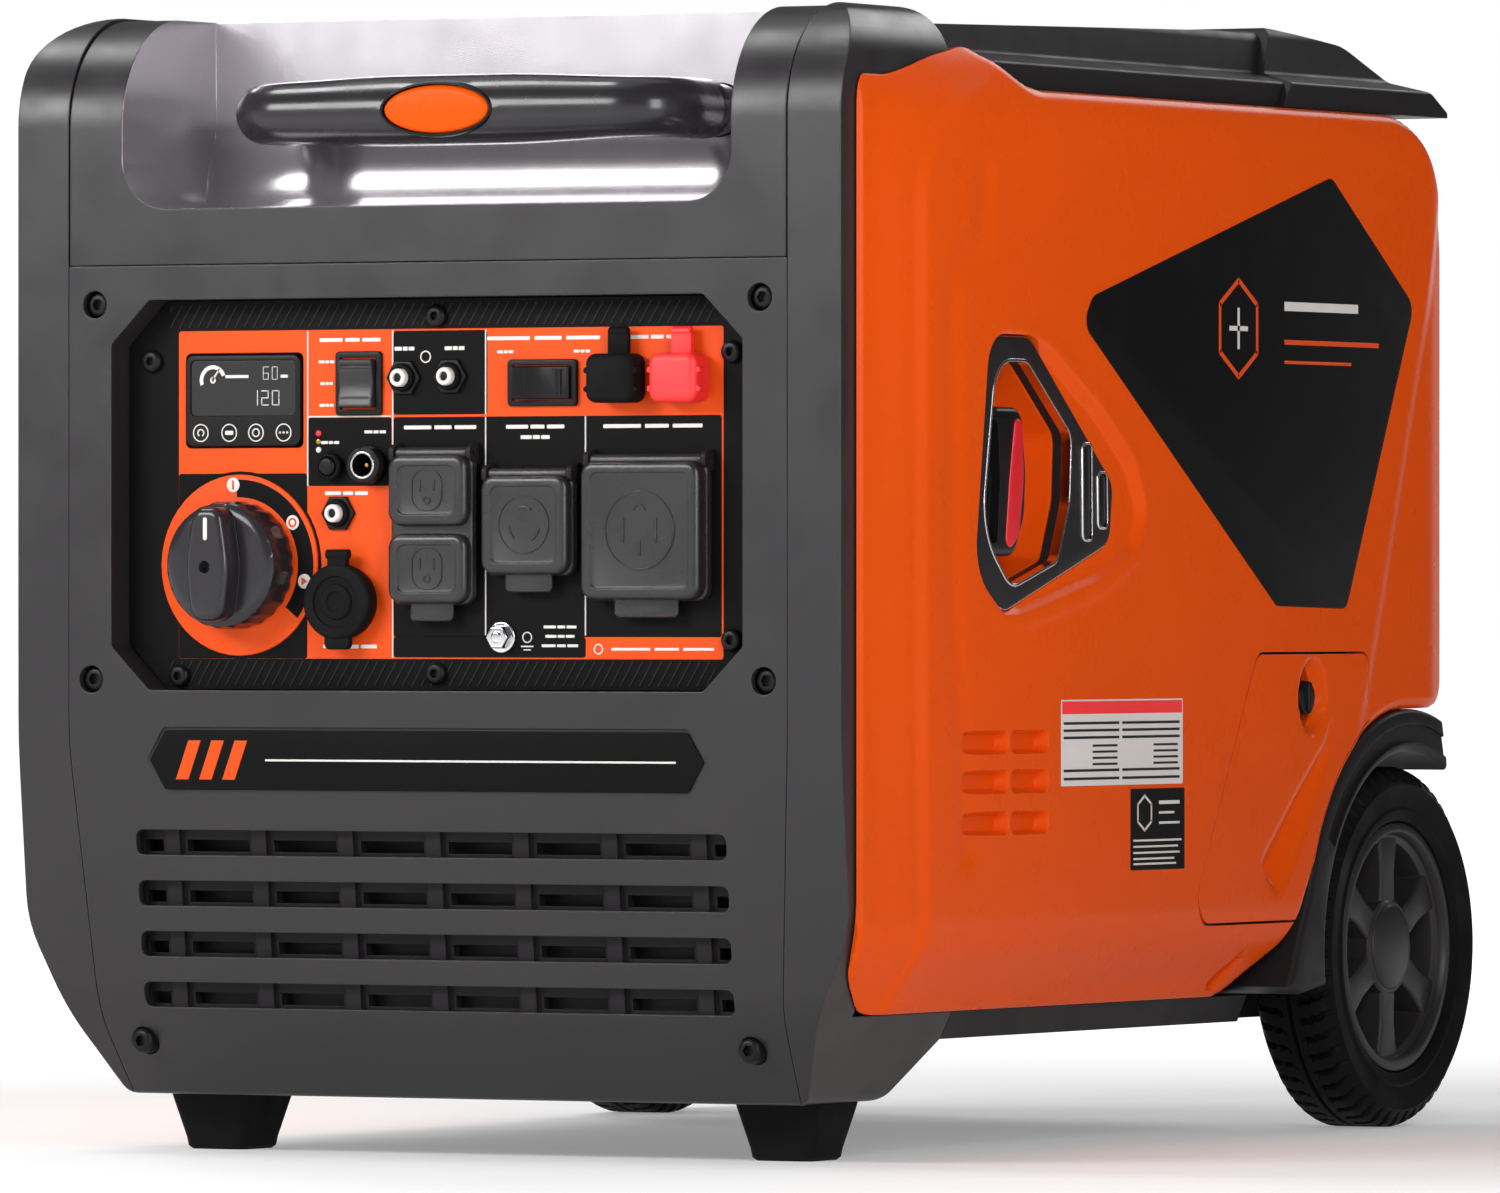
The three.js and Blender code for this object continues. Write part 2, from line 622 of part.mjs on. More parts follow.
function rim(side) {
  const [x0, x1] = span(side, wheelInner + 4, wheelOuter - 4);
  const barrel = rimRadius - 6;
  const hoopRing = turned('x', axleY, axleZ, [
    [barrel, x0], [rimRadius, x0], [rimRadius, x1], [barrel, x1], [barrel, x0],
  ], 32);
  const hub = rod('x', axleY, axleZ, 23, x0 + 1, x1 - 1);
  const spokes = Array.from({ length: spokeCount }, (_, k) => {
    const angle = 2 * Math.PI * k / spokeCount + Math.PI / 6;
    const spoke = new THREE.BoxGeometry(14, rimRadius - 18, 13);
    spoke.translate((x0 + x1) / 2 + side * 6, (rimRadius + 14) / 2, 0).rotateX(angle);
    return solid(spoke.translate(0, axleY, axleZ));
  });
  return cut(join(hoopRing, hub, ...spokes), rod('x', axleY, axleZ, axleRadius + play, x0 - 5, x1 + 5));
}

const axle = () => {
  const reach = wheelOuter - 6;
  return rod('x', axleY, axleZ, axleRadius, -reach, reach);
};

// ---------------------------------------------------------------- control panel and its devices
const switchAt = { engine: [-44.5, 373.4], voltage: [57, 373] };
const switchSize = [25.5, 31];
const breakersAt = [[-19.7, 376], [6, 376.5], [-56, 310.8]];
const coAt = [-60, 333.4];
const inletAt = [-38.8, 333.9];
const dcAt = [-52.4, 268];
const displayBox = { x: [-141, -77], z: [343.5, 387.7] };
const outlets = {
  gfci: { x: [-23.5, 21.8], z: [266.5, 339.6], depth: 10 },
  twist_lock: { x: [27.8, 77], z: [280.5, 329.5], depth: 10 },
  rv: { x: [83.5, 150], z: [268.4, 335.8], depth: 12 },
};
const parallelAt = [[101, 374], [135.5, 374]];
const groundBoltAt = [34.4, 251];
const buttonRadius = 4.4;
const collarRadius = 6.6;
const middle = ([low, high]) => (low + high) / 2;

const holeThrough = (u, v, r, count = 12) => rod('y', u, v, r, panelFace - 10, panelFace + 20, count);
const windowThrough = (x, z, gap) => prism('y',
  rectangle(x[0] - gap, x[1] + gap, z[0] - gap, z[1] + gap), panelFace - 10, panelFace + 20);
const around = ([x, z], [w, h]) => ({ x: [x - w / 2, x + w / 2], z: [z - h / 2, z + h / 2] });

function controlPanel() {
  const plate = prism('y', recessOutline(seam), panelFace, panelFace + plateThickness);
  const dial = rod('y', ...fuelKnobAt, dialRadius, panelFace - 1.2, panelFace + 1, 24);
  const collars = [...breakersAt, coAt].map(([x, z]) => rod('y', x, z, collarRadius, panelFace - 5, panelFace + 1));
  const holes = [...breakersAt, coAt].map(([x, z]) => holeThrough(x, z, buttonRadius + play));
  const engine = around(switchAt.engine, [switchSize[0] - 3, switchSize[1] - 3]);
  const voltage = around(switchAt.voltage, [switchSize[1] + 4, switchSize[0] - 6]);
  const outletHoles = Object.values(outlets).map(({ x, z }) =>
    windowThrough([x[0] + 7, x[1] - 7], [z[0] + 7, z[1] - 7], seam));
  return cut(
    join(plate, dial, ...collars), ...holes, ...outletHoles,
    holeThrough(...fuelKnobAt, 6.5), holeThrough(...inletAt, 7 + seam), holeThrough(...dcAt, 14 + seam),
    windowThrough(displayBox.x, displayBox.z, seam),
    windowThrough(engine.x, engine.z, seam), windowThrough(voltage.x, voltage.z, seam),
    ...parallelAt.map(([x, z]) => holeThrough(x, z, 6 + seam)),
  );
}

const displayModule = () => prism('y', rectangle(...displayBox.x, ...displayBox.z, 3),
  panelFace - 2, panelFace + 20, 0.8);

// A rocker switch case: flange on the panel, body through it, and a pocket for the rocker.
const rockerWall = 2;
const rockerPocket = 12;
function switchCase(centre, [w, h]) {
  const flange = around(centre, [w, h]);
  const body = around(centre, [w - 3, h - 3]);
  const pocket = around(centre, [w - 2 * rockerWall - 1.5, h - 2 * rockerWall - 1.5]);
  return cut(
    join(
      prism('y', rectangle(...flange.x, ...flange.z, 2), panelFace - 2.3, panelFace - 0.3),
      prism('y', rectangle(...body.x, ...body.z), panelFace - 1, panelFace + 22),
    ),
    prism('y', rectangle(...pocket.x, ...pocket.z), panelFace - 9, panelFace + rockerPocket),
  );
}

// A rocker about its pivot: a round back, and a face that dips in the middle.
const rockerGap = 1;
function rocker(w, h) {
  const long = h / 2 - rockerWall - rockerGap - 0.75;
  const wide = w / 2 - rockerWall - rockerGap - 0.4;
  return prism('x', [
    [-6.5, -long, 1], [-4, 0, 20], [-6.5, long, 1], [1, long, 2], [5, long * 0.5, 3], [5, -long * 0.5, 3],
    [1, -long, 2],
  ], -wide, wide);
}

const voltageTilt = THREE.MathUtils.degToRad(8);
function placeRocker(name, [x, z], [w, h], sideways, material) {
  const mesh = piece(name, rocker(w, h), material);
  mesh.position.set(x, panelFace, z);
  if (sideways) mesh.rotation.set(0, Math.PI / 2, voltageTilt, 'ZYX');
  return mesh;
}

const pushButton = ([x, z], reach) => prism('y', ellipse(x, z, buttonRadius, buttonRadius, 12),
  panelFace - reach, panelFace + 8, 0.6);

function batteryInlet() {
  const [x, z] = inletAt;
  const ring = join(rod('y', x, z, 9.3, panelFace - 8, panelFace - 0.3), rod('y', x, z, 7, panelFace - 1, panelFace + 14));
  return join(cut(ring, rod('y', x, z, 5.5, panelFace - 9, panelFace + 11)),
    rod('y', x, z, 1.2, panelFace - 4, panelFace + 12, 8));
}

const dcBore = 10.5;
function dcSocket() {
  const [x, z] = dcAt;
  const shell = join(rod('y', x, z, 17.5, panelFace - 4, panelFace - 0.3), rod('y', x, z, 14, panelFace - 1, panelFace + 34));
  return cut(shell, rod('y', x, z, dcBore, panelFace - 9, panelFace + 31));
}

const capHinge = 23;             // centre of the 12 V socket up to the cap's hinge
function dcCap() {
  const [x, z] = dcAt;
  const back = panelFace - 4 - play;
  return join(
    prism('y', ellipse(x, z, 18.5, 18.5), back - 6, back, 1),
    rod('y', x, z, 7.5, back - 1, back + 6),
    box([x - 5, x + 5], [back - 5, back - 1], [z + 10, z + capHinge]),
    rod('x', back - 3, z + capHinge, 2.4, x - 6, x + 6, 12),
    box([x - 7, x + 7], [back - 5, back - 1.5], [z - 23, z - 10]),
  );
}

const hingeBarrel = 2.8;
const slotSize = [2.4, 7.5];
function outletBody({ x, z }, slotsAt) {
  const inner = rectangle(x[0] + 7, x[1] - 7, z[0] + 7, z[1] - 7, 3);
  const face = rectangle(x[0] + 2, x[1] - 2, z[0] + 2, z[1] - 2, 5);
  const blades = slotsAt.map(([u, v]) => {
    const cx = middle(x) + u;
    const cz = middle(z) + v;
    return box([cx - slotSize[0] / 2, cx + slotSize[0] / 2], [panelFace - 9, panelFace + 14],
      [cz - slotSize[1] / 2, cz + slotSize[1] / 2]);
  });
  return cut(join(prism('y', face, panelFace - 2.3, panelFace - 0.3), prism('y', inner, panelFace - 1, panelFace + 24)),
    ...blades);
}

// A flap over an outlet: a shallow dish with a hinge barrel along its top and a lift tab below.
function outletCover({ x, z, depth }, boxes) {
  const back = panelFace - 2.3 - play;
  const cx = middle(x);
  const dishes = boxes.map(([z0, z1]) => prism('y', rectangle(x[0], x[1], z0, z1, 5), back - depth, back - 3, 1.5));
  const skirt = prism('y', rectangle(...x, ...z, 5), back - 4.5, back);
  const inside = prism('y', rectangle(x[0] + 4, x[1] - 4, z[0] + 4, z[1] - 4, 4), back - 4, back + 5);
  const tabHalf = (x[1] - x[0]) * 0.26;
  return join(
    cut(join(skirt, ...dishes), inside),
    prism('y', rectangle(cx - tabHalf, cx + tabHalf, z[0] - 8, z[0] + 5, 3), back - 5, back - 2.5),
    rod('x', back - hingeBarrel, z[1], hingeBarrel, x[0] + 3, x[1] - 3, 12),
  );
}

function parallelTerminals() {
  const posts = parallelAt.map(([x, z]) => join(
    rod('y', x, z, 6, panelFace - 6, panelFace + 16), rod('y', x, z, 9, panelFace - 2, panelFace - 0.3),
  ));
  const block = box([parallelAt[0][0] - 10, parallelAt[1][0] + 10], [panelFace + 8, panelFace + 16],
    [parallelAt[0][1] - 8, parallelAt[0][1] + 8]);
  return cut(join(block, ...posts), ...parallelAt.map(([x, z]) => rod('y', x, z, 2.6, panelFace - 9, panelFace + 13, 12)));
}

function parallelCap([x, z]) {
  const back = panelFace - 2.3 - play;
  const dome = cut(prism('y', rectangle(x - 13, x + 13, z - 11, z + 12.5, 4), back - 14, back, 1.5),
    rod('y', x, z, 8, back - 8, back + 5));
  const fins = [-6, 3].map((v) => box([x - 14.5, x + 14.5], [back - 12, back - 7], [z + v, z + v + 3]));
  return join(dome, ...fins,
    box([x - 4, x + 4], [back - 4, back - 1], [z + 10, z + 23]),
    rod('x', back - 2.4, z + 23, 2.4, x - 5, x + 5, 12));
}

function groundBolt() {
  const [x, z] = groundBoltAt;
  return join(rod('y', x, z, 7.5, panelFace - 1.8, panelFace - 0.3), rod('y', x, z, 5.6, panelFace - 7, panelFace - 1, 6));
}

function fuelKnob() {
  const [x, z] = fuelKnobAt;
  const face = panelFace - knobReach;
  const base = panelFace - 1.2 - 1.3;
  const skirt = prism('y', ellipse(x, z, knobRadius, knobRadius, 24), face + 14, base, 1.5);
  const bar = prism('y', rectangle(x - 8, x + 8, z - knobRadius + 2, z + knobRadius - 2, 7), face, face + 18, 2);
  return join(skirt, bar, rod('y', x, z, 5.8, base - 2, panelFace + 14));
}

// ---------------------------------------------------------------- working parts inside the casing
function inverterModule() {
  const x = [-120, 120];
  const y = [at(62), at(96)];
  const z = [236, 400];
  const fins = Array.from({ length: 12 }, (_, k) => {
    const fx = x[0] + 6 + k * (x[1] - x[0] - 12) / 11;
    return box([fx - 1.5, fx + 1.5], [y[1] - 1, y[1] + 16], z);
  });
  return join(box(x, y, z), ...fins);
}

const crankY = at(300);
const crankZ = 160;
function engineBlock() {
  const crankcase = box([-85, 95], [crankY - 60, crankY + 60], [floorStep + wall + 6, 230]);
  const cylinder = box([-10, 95], [crankY - 45, crankY + 45], [225, 330]);
  const fins = Array.from({ length: 6 }, (_, k) => box([-25, 108], [crankY - 56, crankY + 56],
    [240 + 14 * k, 244 + 14 * k]));
  const starter = turned('x', crankY, crankZ, [[0, 90], [78, 90], [78, 118], [60, 132], [0, 132]]);
  return join(crankcase, cylinder, ...fins, starter, rod('y', 0, crankZ, 18, crankY - 80, crankY + 75));
}

const alternator = () => turned('y', 0, crankZ, [
  [0, at(125)], [60, at(125)], [92, at(140)], [92, at(214)], [0, at(214)],
]);

function muffler() {
  const shell = prism('y', rectangle(-150, 40, 262, 400, 30), at(430), at(590), 4);
  const [x, z] = exhaustAt;
  const pipe = rod('y', x, z, exhaustRadius, at(585), at(bodyLength - 4));
  return cut(join(shell, pipe), rod('y', x, z, exhaustRadius - 3, at(560), at(bodyLength + 5)));
}

const tank = { x: [-94, 94], y: [130, 410], z: [392, 486], wall: 3 };
const neckTop = 540;
function fuelTank() {
  const [x, depth] = fuelCapAt;
  const y = tank.y.map(at);
  const shell = (inset) => prism('z', rectangle(tank.x[0] + inset, tank.x[1] - inset, y[0] + inset, y[1] - inset, 25),
    tank.z[0] + inset, tank.z[1] - inset);
  return cut(
    join(shell(0), rod('z', x, at(depth), neckRadius, tank.z[1] - 5, neckTop)),
    shell(tank.wall), rod('z', x, at(depth), neckRadius - tank.wall, tank.z[1] - 20, neckTop + 5),
  );
}

function fuelCap() {
  const [x, depth] = fuelCapAt;
  const top = hoopTop - 4;
  return cut(rod('z', x, at(depth), fuelCapRadius, capWellFloor + 2, top, 28),
    rod('z', x, at(depth), neckRadius + play + 0.5, capWellFloor, neckTop + play + 1, 28));
}

const battery = () => prism('z', rectangle(102, 172, at(152), at(214), 4), floorStep + wall + 1, 160, 1);

// ---------------------------------------------------------------- assembly
piece('base_tray', baseTray(), materials.trim);
piece('front_cover', frontCover(), materials.casing);
piece('grille_insert', grilleInsert(), materials.trim);
piece('handle_housing', handleHousing(), materials.casing);
piece('top_cover', topCover(), materials.trim);
piece('rear_top_cap', rearTopCap(), materials.trim);
piece('rear_cover', rearCover(), materials.casing);
piece('left_side_panel', sidePanel(-1), materials.orange);
piece('right_side_panel', rightSidePanel(), materials.orange);
piece('service_door', serviceDoor(), materials.orange);
piece('door_latch', doorLatch(), materials.black);
piece('recoil_bezel', recoilBezel(), materials.chrome);
piece('recoil_pocket', recoilPocket(), materials.orange);
piece('recoil_handle', recoilHandle(), materials.recoilRed);
for (const [name, side] of Object.entries(sides)) {
  piece(`${name}_hoop`, hoop(side), materials.casing);
  piece(`${name}_fender`, fender(side), materials.black);
  piece(`${name}_foot`, foot(side), materials.rubber);
  piece(`${name}_tyre`, tyre(side), materials.rubber);
  piece(`${name}_rim`, rim(side), materials.trim);
  piece(`${name}_guide_tube`, guideTube(side), materials.steel);
}
piece('axle', axle(), materials.steel);
piece('handle', handleGrip(), materials.gripBlack);
piece('handle_button', handleButton(), materials.orange);

piece('control_panel', controlPanel(), materials.black);
piece('display_module', displayModule(), materials.black);
piece('fuel_knob', fuelKnob(), materials.gripBlack);
piece('engine_switch', switchCase(switchAt.engine, switchSize), materials.black);
placeRocker('engine_rocker', switchAt.engine, switchSize, false, materials.trim);
piece('voltage_switch', switchCase(switchAt.voltage, [switchSize[1] + 7, switchSize[0] - 3]), materials.black);
placeRocker('voltage_rocker', switchAt.voltage, [switchSize[0] - 3, switchSize[1] + 7], true, materials.trim);
breakersAt.forEach((place, k) => piece(`breaker_button_${k + 1}`, pushButton(place, 8), materials.black));
piece('co_button', pushButton(coAt, 6.5), materials.black);
piece('battery_inlet', batteryInlet(), materials.black);
piece('dc_socket', dcSocket(), materials.black);
piece('dc_cap', dcCap(), materials.rubber);
piece('gfci_outlet', outletBody(outlets.gfci, [[-4, 20], [5, 20], [-4, -16], [5, -16]]), materials.black);
piece('gfci_cover', outletCover(outlets.gfci, [[266.5, 301.5], [304, 339.6]]), materials.trim);
piece('twist_lock_outlet', outletBody(outlets.twist_lock, [[-8, 4], [8, 4]]), materials.black);
piece('twist_lock_cover', outletCover(outlets.twist_lock, [[280.5, 329.5]]), materials.trim);
piece('rv_outlet', outletBody(outlets.rv, [[-12, 0], [12, 0], [0, -12]]), materials.black);
piece('rv_cover', outletCover(outlets.rv, [[268.4, 335.8]]), materials.trim);
piece('parallel_terminals', parallelTerminals(), materials.black);
piece('parallel_cap_black', parallelCap(parallelAt[0]), materials.rubber);
piece('parallel_cap_red', parallelCap(parallelAt[1]), materials.red);
piece('ground_bolt', groundBolt(), materials.steel);

piece('inverter_module', inverterModule(), materials.castMetal);
piece('engine_block', engineBlock(), materials.castMetal);
piece('alternator', alternator(), materials.castMetal);
piece('muffler', muffler(), materials.steel);
piece('fuel_tank', fuelTank(), materials.black);
piece('fuel_cap', fuelCap(), materials.black);
piece('battery', battery(), materials.black);

export default generator;
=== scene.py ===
"""Looks of a portable generator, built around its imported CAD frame.

Sizes are millimetres in the CAD frame: +X right, +Y to the rear, +Z up. `at(d)` is the Y of a depth d
measured back from the front face.
"""
import math

import bmesh
import bpy
import numpy as np
from mathutils import Matrix, Vector


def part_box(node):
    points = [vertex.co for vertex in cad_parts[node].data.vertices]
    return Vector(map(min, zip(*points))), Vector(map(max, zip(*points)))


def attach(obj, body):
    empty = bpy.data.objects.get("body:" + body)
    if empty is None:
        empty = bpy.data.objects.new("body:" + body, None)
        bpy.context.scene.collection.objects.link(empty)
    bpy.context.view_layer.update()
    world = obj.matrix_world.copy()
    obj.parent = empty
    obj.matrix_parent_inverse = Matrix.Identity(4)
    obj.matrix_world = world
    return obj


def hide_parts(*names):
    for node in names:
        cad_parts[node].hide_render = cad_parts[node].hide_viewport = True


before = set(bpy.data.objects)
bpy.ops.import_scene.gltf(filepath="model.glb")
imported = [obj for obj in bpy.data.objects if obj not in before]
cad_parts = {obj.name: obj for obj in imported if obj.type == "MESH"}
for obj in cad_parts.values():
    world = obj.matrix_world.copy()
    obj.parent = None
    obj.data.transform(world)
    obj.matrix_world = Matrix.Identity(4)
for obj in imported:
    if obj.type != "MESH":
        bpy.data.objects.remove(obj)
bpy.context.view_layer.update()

MM = 0.001
MIRROR = {"left": -1, "right": 1}

# ---------------------------------------------------------------- sizes shared with the CAD part
FRONT = round(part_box("front_cover")[0].y / MM, 1)
HALF = round(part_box("right_side_panel")[1].x / MM, 1)
FACE = FRONT + 17          # the face of the control panel
SEAM = 0.5
PLAY = 0.5
CLEARANCE = 28
BODY_HEIGHT = 558
HOOP_TOP = BODY_HEIGHT - 4
HOOP_SEAM = 198
HOOP_HALF = 227
HOOP_DEPTH = 112
BELLY_HALF = 188
SHOULDER = 112
FLOOR_STEP = 57
STEP_DEPTH = 150
SILL = 71
PANEL_TOP = 516
PANEL_PROUD = 8
HOUSING_BOTTOM = 431.6
SCOOP_HALF = 168
SCOOP_FLOOR = 458.5
SCOOP_DEPTH = 90
GRIP_HEIGHT = 505
GRIP_HALF = 129.5
GRIP_RADIUS = 15
GRIP_SETBACK = 30
TUBE_RADIUS = 12.5
TUBE_REACH = 465
TUBE_X = GRIP_HALF - GRIP_RADIUS
WHEEL_RADIUS = 92
RIM_RADIUS = 63
AXLE_DEPTH = 604
WHEEL_OUTER = HALF - 7
WHEEL_INNER = WHEEL_OUTER - 45
ARCH_RADIUS = WHEEL_RADIUS + 30
LEAN_FOOT, LEAN_KNEE, LEAN_KNEE_Z, LEAN_END_Z = 40, 13, 70, 200
SKIN = HALF - 0.4          # the orange skin, which leaves room for thin labels inside the box


def at(depth):
    return FRONT + depth


AXLE_Y, AXLE_Z = at(AXLE_DEPTH), WHEEL_RADIUS

# ---------------------------------------------------------------- materials
def linear(code):
    """A hex colour as linear RGBA."""
    parts = [int(code[i:i + 2], 16) / 255 for i in (0, 2, 4)]
    return (*(c / 12.92 if c <= 0.04045 else ((c + 0.055) / 1.055) ** 2.4 for c in parts), 1)


def shade(colour, factor):
    return (*(min(1, c * factor) for c in colour[:3]), 1)


def feed(tree, node, inputs):
    """Sets a node's inputs to constants, or links them to the outputs of other nodes."""
    for key, value in inputs.items():
        if isinstance(value, bpy.types.NodeSocket):
            tree.links.new(value, node.inputs[key])
        else:
            node.inputs[key].default_value = value


def added(tree, kind, inputs, **settings):
    """A new shader node with its settings and inputs."""
    node = tree.nodes.new("ShaderNode" + kind)
    for key, value in settings.items():
        setattr(node, key, value)
    feed(tree, node, inputs)
    return node


DRIFT_MM = 90           # size of the slow drift in colour
SHEEN_MM = 25           # size of the patches of duller and shinier surface
GRAIN_HEIGHT = 0.08
# edges are painted this much paler: partly wear, partly painted highlight
EDGE_WEAR_AND_HIGHLIGHT = 2.2
MIX_A, MIX_B, MIX_RESULT = 6, 7, 2      # the colour sockets of a mix node


def finish(name, code, rough, metal=0.0, grain=0.25, grain_mm=0.7, mottle=0.07, edge=0.12, round_mm=0.6,
           coat=0.0, spread=0.06, stretch=(1, 1, 1), specular=0.4):
    """A moulded or metal surface: fine grain in the bump, uneven roughness, a colour drift and paler edges,
    which are partly wear and partly painted highlight.
    """
    material = bpy.data.materials.new(name)
    material.use_nodes = True
    tree, colour = material.node_tree, linear(code)
    place = added(tree, "TexCoord", {}).outputs["Object"]
    scaled = added(tree, "Mapping", {"Scale": stretch, "Vector": place}).outputs["Vector"]

    def noise(size_mm, detail):
        inputs = {"Scale": 1 / (size_mm * MM), "Detail": detail, "Vector": scaled}
        return added(tree, "TexNoise", inputs).outputs["Fac"]

    def ranged(value, low, high, start=0.3, end=0.7):
        inputs = {"Value": value, "From Min": start, "From Max": end, "To Min": low, "To Max": high}
        return added(tree, "MapRange", inputs).outputs["Result"]

    def mixed(factor, first, second):
        inputs = {"Factor": factor, MIX_A: first, MIX_B: second}
        return added(tree, "Mix", inputs, data_type="RGBA").outputs[MIX_RESULT]

    rounded = added(tree, "Bevel", {"Radius": round_mm * MM}, samples=4).outputs["Normal"]
    flat = added(tree, "NewGeometry", {}).outputs["Normal"]
    # facing drops at rounded edges, where the paler edge colour is mixed in: partly wear, partly painted
    # highlight
    facing = added(tree, "VectorMath", {0: rounded, 1: flat}, operation="DOT_PRODUCT").outputs["Value"]
    drift = mixed(ranged(noise(DRIFT_MM, 3), 0, 1), shade(colour, 1 - mottle), shade(colour, 1 + mottle))
    speckle = mixed(ranged(noise(grain_mm * 2, 2), 0, 0.35), drift, shade(colour, 1 - 1.6 * mottle))
    bump = added(tree, "Bump", {"Strength": grain, "Distance": GRAIN_HEIGHT * MM,
                                "Height": noise(grain_mm, 3), "Normal": rounded})
    feed(tree, tree.nodes["Principled BSDF"], {
        "Base Color": mixed(ranged(facing, 0, edge * 2, 1.0, 0.8), speckle, shade(colour, EDGE_WEAR_AND_HIGHLIGHT)),
        "Metallic": metal, "Roughness": ranged(noise(SHEEN_MM, 4), rough - spread, rough + spread),
        "Specular IOR Level": specular, "Coat Weight": coat, "Coat Roughness": 0.12,
        "Normal": bump.outputs["Normal"]})
    return material


# edge sets how much paler a finish's edges are painted: partly wear, partly painted highlight
ORANGE = finish("orange_gloss", "e2500b", 0.28, grain=0.06, grain_mm=0.9, mottle=0.025, edge=0.14,
                spread=0.015, specular=0.06)
CASING = finish("casing_grey", "272527", 0.34, grain=0.5, grain_mm=0.9, mottle=0.08, edge=0.35, round_mm=1.2,
                specular=0.38)
# a pale metallic copy of the casing for the scoop faces: real gloss, with painted reflection in its pale
# colour
GLOSS_AND_PAINTED_REFLECTION = finish("casing_gloss_painted_reflection", "bcb8bc", 0.2, metal=0.75, grain=0.05, grain_mm=0.9, mottle=0.04, edge=0.1,
                spread=0.02)
TRIM = finish("trim_dark", "232123", 0.45, grain=0.55, grain_mm=0.9, mottle=0.10, edge=0.25, specular=0.12)
DARK = finish("inside_dark", "151416", 0.6, grain=0.4)
BLACK = finish("black_satin", "111012", 0.36, grain=0.3, grain_mm=0.8, mottle=0.12, edge=0.25, specular=0.2)
LABEL = finish("label_black", "131213", 0.45, grain=0.18, grain_mm=0.5, mottle=0.08, edge=0.05, specular=0.05)
LABEL_ORANGE = finish("label_orange", "e24d12", 0.42, grain=0.15, grain_mm=0.5, mottle=0.05, edge=0.05,
                      specular=0.15)
LABEL_WHITE = finish("label_white", "dcd6d2", 0.45, grain=0.15, grain_mm=0.5, mottle=0.04, edge=0.02)
GRIP = finish("grip_gloss", "252326", 0.24, grain=0.2, grain_mm=1.2, mottle=0.1, edge=0.2, coat=0.2,
              specular=0.3)
RUBBER = finish("rubber", "101011", 0.7, grain=0.7, grain_mm=0.8, mottle=0.15, edge=0.3, spread=0.1,
                specular=0.1)
TYRE = finish("tyre_rubber", "0c0c0d", 0.62, grain=0.6, grain_mm=1.0, mottle=0.18, edge=0.5, spread=0.12,
              specular=0.1)
FLAP = finish("flap_satin", "232123", 0.3, grain=0.4, grain_mm=0.9, mottle=0.08, edge=0.3, round_mm=1.2,
              specular=0.5)
RIM = finish("rim_plastic", "2a282a", 0.38, grain=0.5, grain_mm=0.9, mottle=0.08, edge=0.3, round_mm=1.2,
             specular=0.3)
RED = finish("red_rubber", "ff2e30", 0.42, grain=0.3, mottle=0.06, edge=0.15)
RECOIL_RED = finish("recoil_red", "d81c28", 0.33, grain=0.3, mottle=0.06, edge=0.15)
CHROME = finish("chrome", "d6d6d8", 0.14, metal=1.0, grain=0.05, mottle=0.03, edge=0.0, spread=0.05)
STEEL = finish("zinc_steel", "a9a9ab", 0.34, metal=1.0, grain=0.35, grain_mm=0.5, mottle=0.1, edge=0.1,
               stretch=(1, 0.08, 1))
CAST = finish("cast_aluminium", "94969a", 0.55, metal=1.0, grain=1.0, grain_mm=1.4, mottle=0.14, edge=0.15)
BRASS = finish("brass", "a98546", 0.3, metal=1.0, grain=0.3, mottle=0.1)
SCREEN = finish("screen_smoke", "0c0d10", 0.12, grain=0.03, mottle=0.1, edge=0.1, coat=0.6)
USUAL_SLOT = {material.name: slot for slot, materials in {
    "orange_plastic": [ORANGE], "casing_plastic": [CASING], "trim_plastic": [TRIM, FLAP, RIM],
    "black_plastic": [BLACK, LABEL, LABEL_ORANGE, LABEL_WHITE, SCREEN], "grip_plastic": [GRIP],
    "rubber": [RUBBER], "tyre": [TYRE], "red_rubber": [RED], "recoil_red": [RECOIL_RED],
    "chrome": [CHROME]}.items() for material in materials}

# ---------------------------------------------------------------- outlines
def filleted(corners, degrees=7):
    """Corners (u, v, radius) to an outline whose corners are arcs."""
    outline = []
    for i, corner in enumerate(corners):
        wanted = corner[2] if len(corner) > 2 else 0
        point = Vector(corner[:2])
        before = Vector(corners[i - 1][:2]) - point
        after = Vector(corners[(i + 1) % len(corners)][:2]) - point
        room = 0.49 * min(before.length, after.length)
        before.normalize()
        after.normalize()
        half = math.acos(max(-1, min(1, before.dot(after)))) / 2
        if wanted < 0.05 or half > 1.565:
            outline.append(tuple(point))
            continue
        trim = min(wanted / math.tan(half), room)
        radius = trim * math.tan(half)
        centre = point + (before + after).normalized() * (radius / math.sin(half))
        start, end = point + before * trim - centre, point + after * trim - centre
        sweep = math.atan2(start.x * end.y - start.y * end.x, start.dot(end))
        steps = max(2, math.ceil(abs(math.degrees(sweep)) / degrees))
        for k in range(steps + 1):
            a = sweep * k / steps
            outline.append((centre.x + start.x * math.cos(a) - start.y * math.sin(a),
                            centre.y + start.x * math.sin(a) + start.y * math.cos(a)))
    return outline


def rectangle(u0, u1, v0, v1, r=0):
    return [(u0, v0, r), (u1, v0, r), (u1, v1, r), (u0, v1, r)]


def ellipse(u, v, ru, rv=None, count=64):
    rv = ru if rv is None else rv
    return [(u + ru * math.cos(2 * math.pi * k / count), v + rv * math.sin(2 * math.pi * k / count))
            for k in range(count)]


